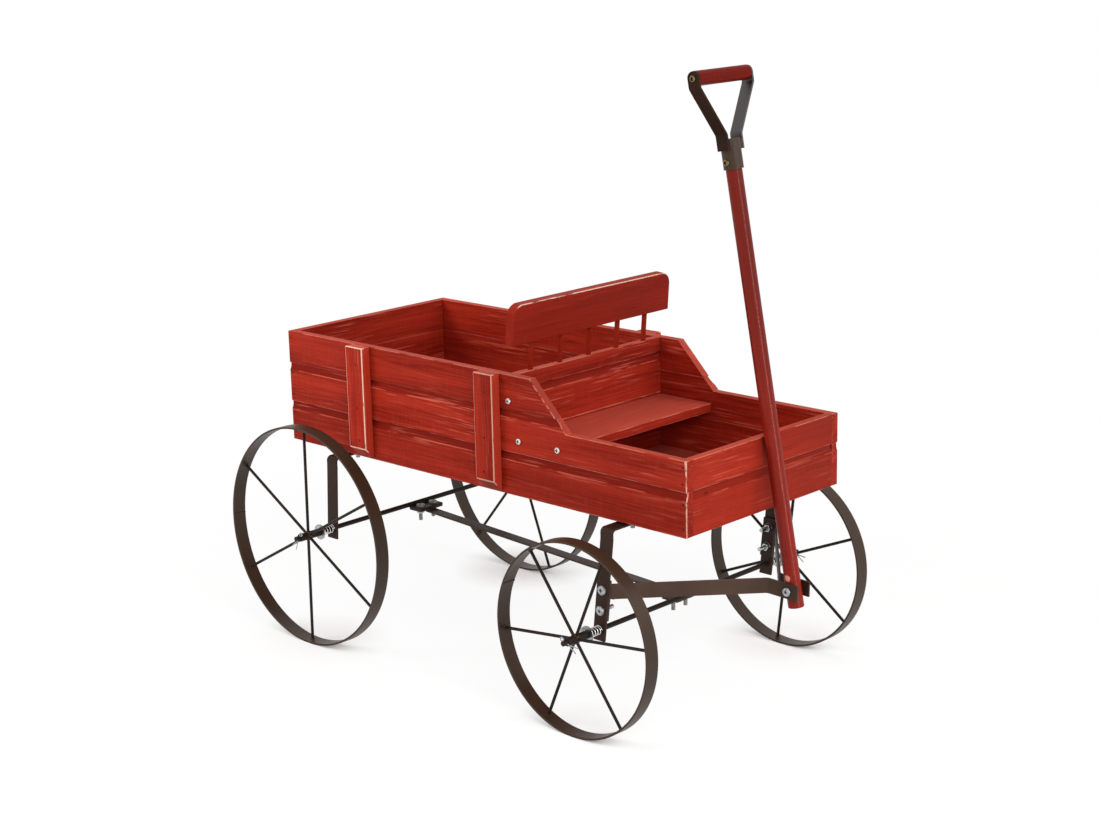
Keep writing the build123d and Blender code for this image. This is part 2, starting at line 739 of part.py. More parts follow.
springs = []
washers_at = []
pins = []
for axle, pin_angle in ((rear_axle, rear_pin_angle), (front_axle, front_pin_angle)):
    for side in sides.values():
        spring_part, spring_path = axle_spring(axle, side)
        springs.append(spring_part)
        washers_at.append(side_seat(axle.X, side * washer_outer, axle.Z))
        pins.append(split_pin(axle + Vector(0, side * pin_place, 0), radians(pin_angle)))

with BuildPart() as axle_springs:
    add(springs)
save(axle_springs, "axle_springs")

# Least gap between turns, measured on points that lie at least half a turn apart along the wire
points_per_turn = 60
point_count = points_per_turn * spring_turns
wire_points = [spring_path.position_at(index / point_count) for index in range(point_count + 1)]
half_turn = ceil(point_count * pi * coil_radius / spring_path.length)
wire_gaps = [
    (far - near).length
    for index, near in enumerate(wire_points)
    for far in wire_points[index + half_turn :]
]
print(f"spring: least gap between turns {min(wire_gaps) - spring_wire:.2f} mm")
print(f"spring: volume {springs[0].volume:.2f}, section times length "
      f"{pi * spring_wire**2 / 4 * spring_path.length:.2f} mm3")

with BuildPart() as hub_washers:
    for seat in washers_at:
        with BuildSketch(seat):
            Circle(washer_diameter / 2)
            Circle(axle_diameter / 2 + fit_clearance, mode=Mode.SUBTRACT)
        extrude(amount=-washer_thickness)
save(hub_washers, "hub_washers")

with BuildPart() as split_pins:
    add(pins)
save(split_pins, "split_pins")


def save_wheel(name, axle, side, first_angle):
    """A wheel of three pieces: rim band, spokes and hub tube."""
    centre = side_seat(axle.X, side * wheel_track / 2, axle.Z)
    rim_radius = axle.Z
    rim_inside = rim_radius - rim_thickness
    hub_radius = hub_diameter / 2
    with BuildPart() as rim:
        with BuildSketch(centre):
            Circle(rim_radius)
            Circle(rim_inside, mode=Mode.SUBTRACT)
        extrude(amount=rim_width / 2, both=True)
    save(rim, f"{name}_rim")
    with BuildPart() as hub:
        with BuildSketch(centre.offset(-hub_inner_reach)):
            Circle(hub_radius)
            Circle(axle_diameter / 2 + running_clearance, mode=Mode.SUBTRACT)
        extrude(amount=hub_inner_reach + hub_outer_reach)
    save(hub, f"{name}_hub")
    with BuildPart() as spokes:
        for spoke in range(spoke_count):
            spoke_angle = radians(first_angle + spoke * 360 / spoke_count)
            outwards = Vector(cos(spoke_angle), 0, sin(spoke_angle))
            with BuildSketch(Plane(origin=centre.origin + outwards * hub_radius / 2, z_dir=outwards)):
                Circle(spoke_diameter / 2)
            extrude(amount=rim_radius - hub_radius / 2)
        with BuildSketch(centre):
            Circle(rim_inside)
            Circle(hub_radius, mode=Mode.SUBTRACT)
        extrude(amount=rim_width / 2, both=True, mode=Mode.INTERSECT)
    save(spokes, f"{name}_spokes")


save_wheel("rear_right", rear_axle, sides["right"], rear_right_spoke_angle)
save_wheel("rear_left", rear_axle, sides["left"], rear_left_spoke_angle)
save_wheel("front_right", front_axle, sides["right"], front_right_spoke_angle)
save_wheel("front_left", front_axle, sides["left"], front_left_spoke_angle)

# Handle
with BuildPart() as handle_pole:
    with BuildSketch(pole_plane.offset(-pole_tail)):
        Circle(pole_diameter / 2)
    extrude(amount=pole_length)
    pole_end = handle_pole.faces().sort_by(Axis(pivot, pole_axis))[0].edges()
    fillet(pole_end, pole_end_round)
    with Locations(pivot_seat):
        Hole(pivot_diameter / 2 + running_clearance, pivot_length)
    with Locations(ferrule_seat):
        Hole(bolt_diameter / 2 + fit_clearance, ferrule_screw_length)
save(handle_pole, "handle_pole")

with BuildPart() as ferrule:
    with BuildSketch(pole_plane.offset(ferrule_foot)):
        Circle(ferrule_radius)
        Circle(ferrule_radius - ferrule_wall, mode=Mode.SUBTRACT)
    extrude(amount=ferrule_length)
    with Locations(ferrule_seat):
        Hole(bolt_diameter / 2 + fit_clearance, ferrule_screw_length)
save(ferrule, "ferrule")

with BuildPart() as ferrule_screw:
    add(headed_bolt(ferrule_seat, bolt_diameter, ferrule_screw_length, socket_head, socket_head_height, True))
save(ferrule_screw, "ferrule_screw")

# Yoke arms: a lug beside the ferrule, a slanting run and an upright end that holds the grip
for side_name, side in sides.items():
    with BuildPart() as yoke_arm:
        with BuildSketch(yoke_plane):
            with BuildLine():
                at_ferrule = ((side * lug_middle, lug_top - lug_length), (side * lug_middle, lug_top))
                slant_top = (side * yoke_middle, lug_top + yoke_rise)
                arm_top = (side * yoke_middle, grip_height + yoke_strip_width / 2)
                FilletPolyline(*at_ferrule, slant_top, arm_top, radius=strip_bend)
            trace(line_width=strip_thickness)
        extrude(amount=yoke_strip_width / 2, both=True)
        top_corners = yoke_arm.edges().filter_by(Axis.Y).sort_by(Axis(pivot, pole_axis))[-2:]
        fillet(top_corners, yoke_top_round)
        with Locations(*grip_seats):
            Hole(bolt_diameter / 2 + fit_clearance, grip_screw_length)
    save(yoke_arm, f"yoke_arm_{side_name}")

with BuildPart() as handle_grip:
    with BuildSketch(side_seat(grip_centre.X, yoke_half - strip_thickness, grip_centre.Z)):
        Circle(grip_diameter / 2)
    extrude(amount=-2 * (yoke_half - strip_thickness))
    with Locations(*grip_seats):
        Hole(bolt_diameter / 2 + fit_clearance, grip_screw_length)
save(handle_grip, "handle_grip")

with BuildPart() as grip_screws:
    add([headed_bolt(seat, bolt_diameter, grip_screw_length, socket_head, socket_head_height, True)
         for seat in grip_seats])
save(grip_screws, "grip_screws")
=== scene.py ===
# %% [markdown]
# # A wagon planter in red stained wood
# The wagon has two planting boxes with a seat between them, wheels bent from strip steel and a hinged
# pull handle. Its shapes come from the imported model, and this lesson dresses them: wood that is stained
# and rubbed, powder coated steel, zinc plated fasteners, and the small details that are left to Blender.
# The model is loaded first.

# %% Load the imported wagon
import json
import math
import random

import bmesh
import bpy
from mathutils import Matrix, Vector


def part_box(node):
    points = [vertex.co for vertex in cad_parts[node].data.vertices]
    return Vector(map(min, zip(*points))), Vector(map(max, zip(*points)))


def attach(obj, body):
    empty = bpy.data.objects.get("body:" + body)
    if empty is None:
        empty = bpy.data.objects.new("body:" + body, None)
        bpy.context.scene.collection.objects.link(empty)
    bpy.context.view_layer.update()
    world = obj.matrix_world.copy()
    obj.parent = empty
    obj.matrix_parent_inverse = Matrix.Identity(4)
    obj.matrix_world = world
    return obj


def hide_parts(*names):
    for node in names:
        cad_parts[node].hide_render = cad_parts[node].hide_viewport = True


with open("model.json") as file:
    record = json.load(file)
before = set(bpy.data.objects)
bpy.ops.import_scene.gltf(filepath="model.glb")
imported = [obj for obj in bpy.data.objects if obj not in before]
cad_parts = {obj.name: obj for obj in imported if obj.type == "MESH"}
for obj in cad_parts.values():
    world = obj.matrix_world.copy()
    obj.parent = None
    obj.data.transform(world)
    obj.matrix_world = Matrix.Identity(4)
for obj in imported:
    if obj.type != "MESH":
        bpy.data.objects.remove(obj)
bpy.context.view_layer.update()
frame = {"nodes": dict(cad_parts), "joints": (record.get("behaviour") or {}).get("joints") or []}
nodes = frame["nodes"]
scene = bpy.context.scene
scene.view_settings.view_transform = "Standard"
MM = 0.001

# %% [markdown]
# ## The camera of the photograph
# Known points of the wagon, such as the corners of its boxes and the rims of its wheels, were matched to
# the photograph by a pinhole camera. That gives an eye point, two angles, a slight roll and a focal length
# in pixels. Building the matrix from three axes keeps all of it in plain sight, with no tracking needed.

# %% Camera
image_width = 1100
focal_pixels = 2077.0
azimuth, elevation, roll = (math.radians(a) for a in (44.172, 14.315, -1.393))
eye = Vector((1.38953, -1.43200, 0.75380))

back = Vector((
    math.sin(azimuth) * math.cos(elevation),
    -math.cos(azimuth) * math.cos(elevation),
    math.sin(elevation),
))
level_right = Vector((math.cos(azimuth), math.sin(azimuth), 0))
right = math.cos(roll) * level_right + math.sin(roll) * back.cross(level_right)
up = back.cross(right)

camera_data = bpy.data.cameras.new("photo_camera")
camera_data.lens = focal_pixels / image_width * camera_data.sensor_width
camera = bpy.data.objects.new("photo_camera", camera_data)
camera.matrix_world = Matrix.Translation(eye) @ Matrix((right, up, back)).transposed().to_4x4()
scene.collection.objects.link(camera)
scene.camera = camera
print("lens in mm", round(camera_data.lens, 2))

# %% [markdown]
# ## One small tool for shader nodes
# Every material below is a tree of nodes. One function adds a node, gives it its settings, and fills each
# input with a number, a colour or a link from another node. Colours are written as sRGB hex values, as a
# paint chart gives them, and one function turns them into the linear values that shaders work in.

# %% Node and colour helpers
def add_node(tree, kind, inputs=None, **settings):
    """Add a shader node with its settings, and set or link its inputs.

    An input is a number, a colour, an output of another node, or that node itself for its first output
    in use.
    """
    node = tree.nodes.new("ShaderNode" + kind)
    for name, value in settings.items():
        setattr(node, name, value)
    for socket, value in (inputs or {}).items():
        if isinstance(value, bpy.types.Node):
            value = next(output for output in value.outputs if output.enabled)
        if isinstance(value, bpy.types.NodeSocket):
            tree.links.new(value, node.inputs[socket])
        else:
            node.inputs[socket].default_value = value
    return node


def linear(hex_colour):
    """An sRGB hex colour as linear red, green, blue and alpha."""
    shares = [int(hex_colour[i:i + 2], 16) / 255 for i in (1, 3, 5)]
    return [c / 12.92 if c <= 0.04045 else ((c + 0.055) / 1.055) ** 2.4 for c in shares] + [1.0]


def tinted(colour, share):
    """A linear colour made darker or lighter by a share, with full alpha."""
    return [v * share for v in colour[:3]] + [1.0]


def empty_tree(owner):
    """The cleared node tree of a material or a world."""
    owner.use_nodes = True
    owner.node_tree.nodes.clear()
    return owner.node_tree


# Inputs go by name or number. A MapRange has 0 its value, 1 and 2 the limits of that, and 3 and 4 what they
# become, or else 0 and 1. A Mix of colours has 0 the share of the second one, and 6 and 7 the colours.
rgba = {"data_type": "RGBA"}  # sets a mix to colours
smooth = {"interpolation_type": "SMOOTHSTEP"}  # lets a range start and end softly
times = {"operation": "MULTIPLY"}
print("mid grey in linear light", round(linear("#808080")[0], 3))

# %% [markdown]
# ## A white studio
# The photograph is lit softly from all round and stands on white. The world is white where the camera or a
# reflection sees it, and weaker as a light, so that it fills the shadows without washing out the colours.
# The floor mixes plain white paper, which takes the shadow, with a white glow that grows with the distance
# from each wheel and from the wagon. So a wheel keeps its shadow where it stands, and the floor runs into the
# background with no horizon line.

# %% World
ambient_light = 0.42
white = linear("#ffffff")


def seen_rays(tree):
    """A node that is 1 for the rays that show a background: from the camera, a mirror or clear glass."""
    rays = add_node(tree, "LightPath").outputs
    shiny = add_node(tree, "Math", {
        0: rays["Is Glossy Ray"], 1: rays["Is Transmission Ray"],
    }, operation="MAXIMUM")
    return add_node(tree, "Math", {0: rays["Is Camera Ray"], 1: shiny}, operation="MAXIMUM")


world = bpy.data.worlds.new("white_studio")
scene.world = world
tree = empty_tree(world)
soft_fill = add_node(tree, "Background", {"Color": white, "Strength": ambient_light})
white_back = add_node(tree, "Background", {"Color": white, "Strength": 1.0})
sky = add_node(tree, "MixShader", {0: seen_rays(tree), 1: soft_fill, 2: white_back})
add_node(tree, "OutputWorld", {"Surface": sky})
print("world light", ambient_light)

# %% Floor
floor_radius, floor_sides = 8.0, 96
glow_near, glow_start, glow_end = 0.88, 0.45, 1.2  # its share under the wagon, and the metres where it grows
glow_foot, foot_reach = 0.10, 0.11  # its share where a wheel stands, and the metres until that ends
wheel_centres = {j["child"]: Vector(j["pos_m"]) for j in frame["joints"] if j["child"].endswith("_wheel")}
floor_mesh = bpy.data.meshes.new("paper_floor")
floor_bm = bmesh.new()
bmesh.ops.create_circle(floor_bm, cap_ends=True, radius=floor_radius, segments=floor_sides)
floor_bm.to_mesh(floor_mesh)
floor_bm.free()
floor = bpy.data.objects.new("paper_floor", floor_mesh)
scene.collection.objects.link(floor)

paper = bpy.data.materials.new("matt_white_paper")
tree = empty_tree(paper)
place = add_node(tree, "TexCoord").outputs["Object"]
distance = add_node(tree, "VectorMath", {0: place}, operation="LENGTH")
glow = add_node(tree, "MapRange", {0: distance, 1: glow_start, 2: glow_end, 3: glow_near, 4: 1.0}, **smooth)
for centre in wheel_centres.values():
    foot = add_node(tree, "VectorMath", {0: place, 1: (centre.x, centre.y, 0)}, operation="DISTANCE")
    beside = add_node(tree, "MapRange", {0: foot, 1: 0.0, 2: foot_reach, 3: glow_foot, 4: 1.0}, **smooth)
    glow = add_node(tree, "Math", {0: glow, 1: beside}, operation="MINIMUM")
share = add_node(tree, "Math", {0: seen_rays(tree), 1: glow}, **times)
sheet = add_node(tree, "BsdfDiffuse", {"Color": linear("#f4f4f3"), "Roughness": 1.0})
light = add_node(tree, "Emission", {"Color": white, "Strength": 1.0})
ground = add_node(tree, "MixShader", {0: share, 1: sheet, 2: light})
add_node(tree, "OutputMaterial", {"Surface": ground})
floor_mesh.materials.append(paper)
print("floor of", 2 * floor_radius, "m across")

# %% [markdown]
# ## Softboxes
# One softbox stands low to the left, so that a batten throws its shadow forwards, as in the photograph. Two
# share the work on the front: one beside the camera, and one from the far side, which shades the wall beside
# the pole. A weaker one hangs above. The powers are set so that a surface that faces a light shows about the
# colour it was given. A tall strip light only shows in reflections. The pole leans back, so it mirrors a
# strip that stands low in front of it, and that draws the highlight along the pole and its ferrule.

# %% Lights
aim = Vector((0, 0, 0.25))


def softbox(name, bearing, height, reach, size, power, tall=1, lights=True, mirrored=False):
    """A light at a bearing round the wagon and a height angle above it, both in degrees.

    reach is its distance and size its width, both in metres, and it is tall times as high as it is wide.
    One that lights reaches matt surfaces, and one that is mirrored shows as a highlight on smooth ones.
    """
    turn, lift = math.radians(bearing), math.radians(height)
    towards = Vector((math.sin(turn) * math.cos(lift), -math.cos(turn) * math.cos(lift), math.sin(lift)))
    data = bpy.data.lights.new(name, "AREA")
    data.shape = "RECTANGLE"
    data.size = size
    data.size_y = size * tall
    data.energy = power
    lamp = bpy.data.objects.new(name, data)
    lamp.location = aim + towards * reach
    lamp.rotation_euler = towards.to_track_quat("Z", "Y").to_euler()
    lamp.visible_diffuse = lights
    lamp.visible_glossy = mirrored
    scene.collection.objects.link(lamp)


# bearing, height, reach, size and power
softbox("left_softbox", -32, 26, 2.4, 1.0, 26)
softbox("front_softbox", 62, 30, 2.6, 1.4, 34)
softbox("right_softbox", 116, 27, 2.6, 1.0, 13, mirrored=True)
softbox("top_softbox", 200, 75, 2.4, 1.8, 14)
softbox("strip_light", 86, 5.2, 2.2, 0.3, 10, tall=3, lights=False, mirrored=True)

# %% [markdown]
# ## Red stained, rubbed pine
# The boards are softwood, sawn, planed, stained brick red and then sanded back so that they look old. One
# function builds this wood from a few steps, and each step gets a cell. The first lays the grain. It turns
# the coordinates so that the grain lies along x, gives each board its own place in the pattern, and lays
# patterns whose sizes are real ones in millimetres. Fibres are about 0.3 mm wide on the real board, which is
# too fine for the picture, so they are drawn 1.2 mm wide.

# %% Grain
grain_turns = {
    "x": (0, 0, 0),
    "y": (0, 0, math.radians(-90)),
    "z": (0, math.radians(90), 0),
}
wood_patterns = {  # length along the grain and width across it in mm, detail, then the range that is used
    "tone": (240, 15, 2.0, 0.34, 0.66),
    "soak": (320, 34, 2.0, 0.44, 0.66),
    "fibre": (60, 1.2, 3.0, 0.36, 0.70),
    "rubbed": (46, 2.0, 2.0, 0.54, 0.72),
    "patch": (120, 30, 1.0, 0.42, 0.64),
    "pores": (22, 1.0, 1.0, 0.37, 0.27),
    "ripple": (2.2, 18, 1.0, 0.50, 0.76),
    "nibble": (5, 4, 3.0, 0.30, 0.70),
    "dashes": (24, 5, 3.0, 0.44, 0.56),
}
growth_ring, ring_stretch = 5.5 * MM, 0.03  # from ring to ring, and how little rings change along the grain
wave_step = 2 * math.pi / 20  # the ring texture repeats after this length in its own units


def lay_grain(tree, place, turn, shift):
    """The patterns of one board, each as plain noise and as a soft range, with the rings of late wood."""
    board = add_node(tree, "Mapping", {"Vector": place, "Rotation": turn, "Location": shift})
    noise, spread = {}, {}
    for pattern, (length, width, detail, low, high) in wood_patterns.items():
        stretch = (1 / (length * MM), 1 / (width * MM), 1 / (width * MM))
        laid = add_node(tree, "VectorMath", {0: board, 1: stretch}, **times)
        noise[pattern] = add_node(tree, "TexNoise", {"Vector": laid, "Scale": 1.0, "Detail": detail})
        spread[pattern] = add_node(tree, "MapRange", {0: noise[pattern], 1: low, 2: high}, **smooth)
    ring_scale = wave_step / growth_ring
    ring_sizes = (ring_scale * ring_stretch, ring_scale, ring_scale)
    laid = add_node(tree, "VectorMath", {0: board, 1: ring_sizes}, **times)
    rings = add_node(tree, "TexWave", {
        "Vector": laid, "Scale": 1.0, "Distortion": 7.0, "Detail": 2.0, "Detail Scale": 0.7,
    }, wave_type="RINGS", rings_direction="X", wave_profile="SAW").outputs["Fac"]
    spread["late_wood"] = add_node(tree, "MapRange", {0: rings, 1: 0.55, 2: 1.0, 4: 0.18}, **smooth)
    return noise, spread


print("wood patterns", list(wood_patterns))

# %% [markdown]
# Stain gathers in soft streaks along the grain and in the pores, and late wood takes it darker. The sander
# then leaves a very faint ripple across the board and paler streaks, most on the strip below a cove. Faces
# that look up are paler too, partly from rubbing and partly as painted light from above. The hollow cove
# along a board's upper edge is darker than its face, partly as painted shade and partly as pooled stain.

# %% Stain, sanding and painted light
stain_layers = (  # a pattern, how strong it is, and its shade
    ("soak", 0.40, "deep"), ("fibre", 0.45, "light"), ("ripple", 0.16, "light"), ("pores", 0.35, "dark"),
)
cove_height, cove_blur = 8 * MM, 0.3 * MM
lip_drop, lip_core, lip_rim = 1.5 * MM, 1 * MM, 5 * MM  # the sanded strip below a cove, and its half widths
line_core, line_rim = 0.3 * MM, 0.7 * MM  # half widths of the pale line along a cove's lower edge


def looking(tree, way, low, high, share=1.0, normal="True Normal"):
    """A node that grows to a share on the faces that look one way."""
    face = add_node(tree, "NewGeometry").outputs[normal]
    facing = add_node(tree, "VectorMath", {0: face, 1: way}, operation="DOT_PRODUCT")
    return add_node(tree, "MapRange", {0: facing, 1: low, 2: high, 4: share}, **smooth)


def stain(tree, spread, shades):
    """The colour of a board before sanding."""
    colour = add_node(tree, "Mix", {0: spread["tone"], 6: shades["deep"], 7: shades["middle"]}, **rgba)
    for pattern, share, shade in stain_layers:
        amount = add_node(tree, "Math", {0: spread[pattern], 1: share}, **times)
        colour = add_node(tree, "Mix", {0: amount, 6: colour, 7: shades[shade]}, **rgba)
    return add_node(tree, "Mix", {0: spread["late_wood"], 6: colour, 7: shades["deep"]}, **rgba)


def sand_and_paint_light(tree, colour, place, spread, shades, rubbing, outside, cove_top):
    """The colour of a board after sanding, with painted light on faces that look up and painted shade in its
    cove. outside is 1 on its outer face.
    """
    height = add_node(tree, "SeparateXYZ", {0: place}).outputs["Z"]
    # Faces that look up are paler: partly rubbing, partly painted light from above.
    lit_and_rubbed_top = looking(tree, (0, 0, 1), 0.20, 0.70, 0.65, "Normal")
    scuffs = spread["patch"]
    if outside:
        lit_and_rubbed_top = add_node(tree, "Math", {0: lit_and_rubbed_top, 1: outside}, operation="SUBTRACT", use_clamp=True)
    if cove_top:
        cove_foot = cove_top - cove_height
        # The cove is darker: partly painted shade under the board above, partly stain that pools there.
        above = add_node(tree, "MapRange", {
            0: height, 1: cove_foot - cove_blur, 2: cove_foot + cove_blur, 4: 0.8,
        }, **smooth)
        hollow = add_node(tree, "Math", {0: above, 1: outside}, **times)
        colour = add_node(tree, "Mix", {0: hollow, 6: colour, 7: shades["shade_and_soak"]}, **rgba)
        lip = add_node(tree, "Math", {0: height, 1: cove_foot - lip_drop}, operation="SUBTRACT")
        lip = add_node(tree, "Math", {0: lip}, operation="ABSOLUTE")
        lip = add_node(tree, "MapRange", {0: lip, 1: lip_rim, 2: lip_core, 4: 0.9}, **smooth)
        scuffs = add_node(tree, "Math", {0: scuffs, 1: lip}, operation="MAXIMUM")
        line = add_node(tree, "Math", {0: height, 1: cove_foot}, operation="SUBTRACT")
        line = add_node(tree, "Math", {0: line}, operation="ABSOLUTE")
        line = add_node(tree, "MapRange", {0: line, 1: line_rim, 2: line_core, 4: 0.55}, **smooth)
        line = add_node(tree, "Math", {0: line, 1: outside}, **times)
        line = add_node(tree, "Math", {0: line, 1: spread["dashes"]}, **times)
        colour = add_node(tree, "Mix", {0: line, 6: colour, 7: shades["pale_line"]}, **rgba)
    streaks = add_node(tree, "Math", {0: spread["rubbed"], 1: scuffs}, **times)
    streaks = add_node(tree, "Math", {0: streaks, 1: lit_and_rubbed_top}, operation="ADD", use_clamp=True)
    streaks = add_node(tree, "Math", {0: streaks, 1: rubbing}, **times)
    return add_node(tree, "Mix", {0: streaks, 6: colour, 7: shades["rubbed"]}, **rgba)


print("layers of stain", len(stain_layers))

# %% [markdown]
# Corners and creases are darkened as painted shade. Narrow sides that look forwards are painted lighter, as
# painted light. Ends and edges that the sander met most are paler, or bare in dashes with a ragged border,
# and a knock leaves a small mark. Zones along a board can also hold painted shade towards one of its ends.

# %% Painted shade and light, rubbing and marks
corner_shade_reach = 6 * MM
nibble_depth, bare_before, bare_after = 2.4 * MM, 0.2 * MM, 0.4 * MM  # the ragged border of a bare end
widening, widening_foot, widening_top = 1.2 * MM, 0.250, 0.263  # a bare end is wider between these heights
dash_blur, most_worn = 0.05, 0.95
mark_core, mark_rim = 1.2, 1.6  # in half sizes of a mark, with the noise that frays it added


def wear_down(tree, colour, place, noise, shades, outside, lit_flank=0.0, bare_end=None, wear=None, marks=()):
    """The colour of a board after years of use, with painted shade in its corners.

    lit_flank is how much lighter a narrow side that looks forwards is painted, as painted light, and bare_end
    the x of a rubbed end. wear gives zones rubbed bare on edges and zones of painted shade on faces:
    where dashes begin, how bare they are, their colour, and zones, each a direction, two distances along it,
    and how the share changes from the one to the other. Each mark is a small rubbed place: a point, its half
    sizes in mm, and a colour.
    """
    # Painted shade: occlusion darkens corners, creases and the boards beside a batten.
    open_air = add_node(tree, "AmbientOcclusion", {"Distance": corner_shade_reach}, samples=6).outputs["AO"]
    corner_shade = add_node(tree, "MapRange", {0: open_air, 1: 0.60, 2: 0.15, 4: 0.65}, **smooth)
    colour = add_node(tree, "Mix", {0: corner_shade, 6: colour, 7: shades["dark"]}, **rgba)
    # Painted light: a narrow side that looks forwards is drawn lighter.
    if lit_flank:
        flank_light = looking(tree, (1, 0, 0), 0.30, 0.60, lit_flank)
        colour = add_node(tree, "Mix", {0: flank_light, 6: colour, 7: shades["lit_side"]}, **rgba)
    if bare_end:
        where = add_node(tree, "SeparateXYZ", {0: place}).outputs
        nibbled = add_node(tree, "Math", {0: noise["nibble"], 1: nibble_depth}, **times)
        widened = add_node(tree, "MapRange", {
            0: where["Z"], 1: widening_foot, 2: widening_top, 4: widening,
        }, **smooth)
        reach = add_node(tree, "Math", {0: nibbled, 1: widened}, operation="ADD")
        reach = add_node(tree, "Math", {0: reach, 1: where["X"]}, operation="ADD")
        band = add_node(tree, "MapRange", {
            0: reach, 1: bare_end - bare_before, 2: bare_end + bare_after, 4: 0.65,
        }, **smooth)
        band = add_node(tree, "Math", {0: band, 1: outside}, **times)
        broken = add_node(tree, "MapRange", {0: noise["dashes"], 1: 0.40, 2: 0.54, 3: 0.25}, **smooth)
        band = add_node(tree, "Math", {0: band, 1: broken}, **times)
        colour = add_node(tree, "Mix", {0: band, 6: colour, 7: shades["bare"]}, **rgba)
    if wear:
        gap, bareness, wear_and_shade_hex, zones = wear
        worn_and_shaded = add_node(tree, "MapRange", {
            0: noise["dashes"], 1: gap - dash_blur, 2: gap + dash_blur, 4: bareness,
        }, **smooth)
        for way, near, far, first, last in zones:
            reach = add_node(tree, "VectorMath", {0: place, 1: way}, operation="DOT_PRODUCT")
            zone = add_node(tree, "MapRange", {0: reach, 1: near, 2: far, 3: first, 4: last}, **smooth)
            worn_and_shaded = add_node(tree, "Math", {0: worn_and_shaded, 1: zone}, **times)
        worn_and_shaded = add_node(tree, "Math", {0: worn_and_shaded, 1: most_worn}, operation="MINIMUM")
        colour = add_node(tree, "Mix", {0: worn_and_shaded, 6: colour, 7: linear(wear_and_shade_hex)}, **rgba)
    for point, sizes, tone in marks:
        sharpness = [1 / (size * MM) for size in sizes]
        away = add_node(tree, "VectorMath", {0: place, 1: point}, operation="SUBTRACT")
        away = add_node(tree, "VectorMath", {0: away, 1: sharpness}, **times)
        reach = add_node(tree, "VectorMath", {0: away}, operation="LENGTH")
        reach = add_node(tree, "Math", {0: reach, 1: noise["nibble"]}, operation="ADD")
        mark = add_node(tree, "MapRange", {0: reach, 1: mark_rim, 2: mark_core}, **smooth)
        colour = add_node(tree, "Mix", {0: mark, 6: colour, 7: linear(tone)}, **rgba)
    return colour


print("dirt within", corner_shade_reach / MM, "mm of a corner")

# %% [markdown]
# The steps are joined to a material, with boards that differ a little in their stain. The fibres stand up
# slightly and are less glossy than what lies between, so they drive the bump and the roughness too.

# %% Stained wood
dip_spread, shift_reach = 0.06, 3  # how much boards differ in stain, and how far their patterns are moved
tone_names = ("deep", "middle", "light", "rubbed")
derived_shades = {  # the tone that a shade comes from, and how bright it is beside that
    "dark": ("deep", 0.45), "shade_and_soak": ("deep", 0.85),
    "pale_line": ("rubbed", 1.3), "lit_side": ("light", 1.2),
}
relief_depth, varnish_roughness = 0.35 * MM, 0.22


def stained_wood(name, turn, seed, tones, rubbing=0.6, roughness=0.62, shine=0.08, strength=1.0, out=None,
                 cove_top=None, varnish=0.0, **worn_and_shaded):
    """Stained softwood with its grain along one direction. tones are deep, middle, light, rubbed and bare.

    strength is how bright this board is drawn, out the way that its outer face looks, cove_top the height of
    a cove's upper edge, and varnish how much of a smooth clear coat lies over the stain. The rest goes to
    wear_down.
    """
    dice = random.Random(seed)
    dip = strength * dice.uniform(1 - dip_spread, 1 + dip_spread)
    shift = [dice.uniform(-shift_reach, shift_reach) for _ in range(3)]
    shades = {shade: tinted(linear(tone), dip) for shade, tone in zip(tone_names, tones)}
    for shade, (source, share) in derived_shades.items():
        shades[shade] = tinted(shades[source], share)
    shades["bare"] = linear(tones[-1])
    material = bpy.data.materials.new(name)
    tree = empty_tree(material)
    place = add_node(tree, "TexCoord").outputs["Object"]
    outside = looking(tree, out, 0.15, 0.40) if out else None
    noise, spread = lay_grain(tree, place, turn, shift)
    colour = stain(tree, spread, shades)
    colour = sand_and_paint_light(tree, colour, place, spread, shades, rubbing, outside, cove_top)
    colour = wear_down(tree, colour, place, noise, shades, outside, **worn_and_shaded)
    gloss = add_node(tree, "MapRange", {
        0: noise["fibre"], 1: 0.3, 2: 0.7, 3: roughness - 0.08, 4: roughness + 0.10,
    }, **smooth)
    relief = add_node(tree, "Math", {0: noise["fibre"], 1: spread["late_wood"]}, operation="SUBTRACT")
    bump = add_node(tree, "Bump", {"Height": relief, "Strength": 0.35, "Distance": relief_depth})
    wood = add_node(tree, "BsdfPrincipled", {
        "Base Color": colour, "Roughness": gloss, "Normal": bump, "IOR": 1.5, "Specular IOR Level": shine,
        "Coat Weight": varnish, "Coat Roughness": varnish_roughness,
    })
    add_node(tree, "OutputMaterial", {"Surface": wood})
    return material


print("shades of stain", len(tone_names) + len(derived_shades))

# %% [markdown]
# ## Dressing the boards
# Each board gets wood of its own, so no two show the same streaks. The grain runs along the length of a
# board: along the wagon in the sides and the floor, across it in the walls, the seat and the seat back, and
# upright in the battens. Sharp model edges are softened by a bevel, as sanding does, which also lets them
# catch the light. The bevel needs joined faces, so a weld and a clean-up of flat faces come before it.

# %% Dressing and edge softening
same_point = 0.002 * MM  # corners nearer to each other than this are one
flat_degrees, sharp_degrees = 0.3, 35


def dress(node, *materials):
    """Give a model node its own materials in place of the plain one. The last one goes on bevelled edges."""
    nodes[node].data.materials.clear()
    for material in materials:
        nodes[node].data.materials.append(material)


def soften(node, width_mm, segments=2):
    """Round the sharp edges of a model node by a small bevel, with the mesh itself left as it is."""
    piece = nodes[node]
    weld = piece.modifiers.new("join_faces", "WELD")
    weld.merge_threshold = same_point
    flat = piece.modifiers.new("clean_flats", "DECIMATE")
    flat.decimate_type = "DISSOLVE"
    flat.angle_limit = math.radians(flat_degrees)
    edge = piece.modifiers.new("sanded_edges", "BEVEL")
    edge.width = width_mm * MM
    edge.segments = segments
    edge.limit_method = "ANGLE"
    edge.angle_limit = math.radians(sharp_degrees)
    edge.use_clamp_overlap = False
    edge.material = len(piece.data.materials) - 1
    piece.modifiers.new("even_shading", "WEIGHTED_NORMAL")


print("edges sharper than", sharp_degrees, "degrees are rounded")

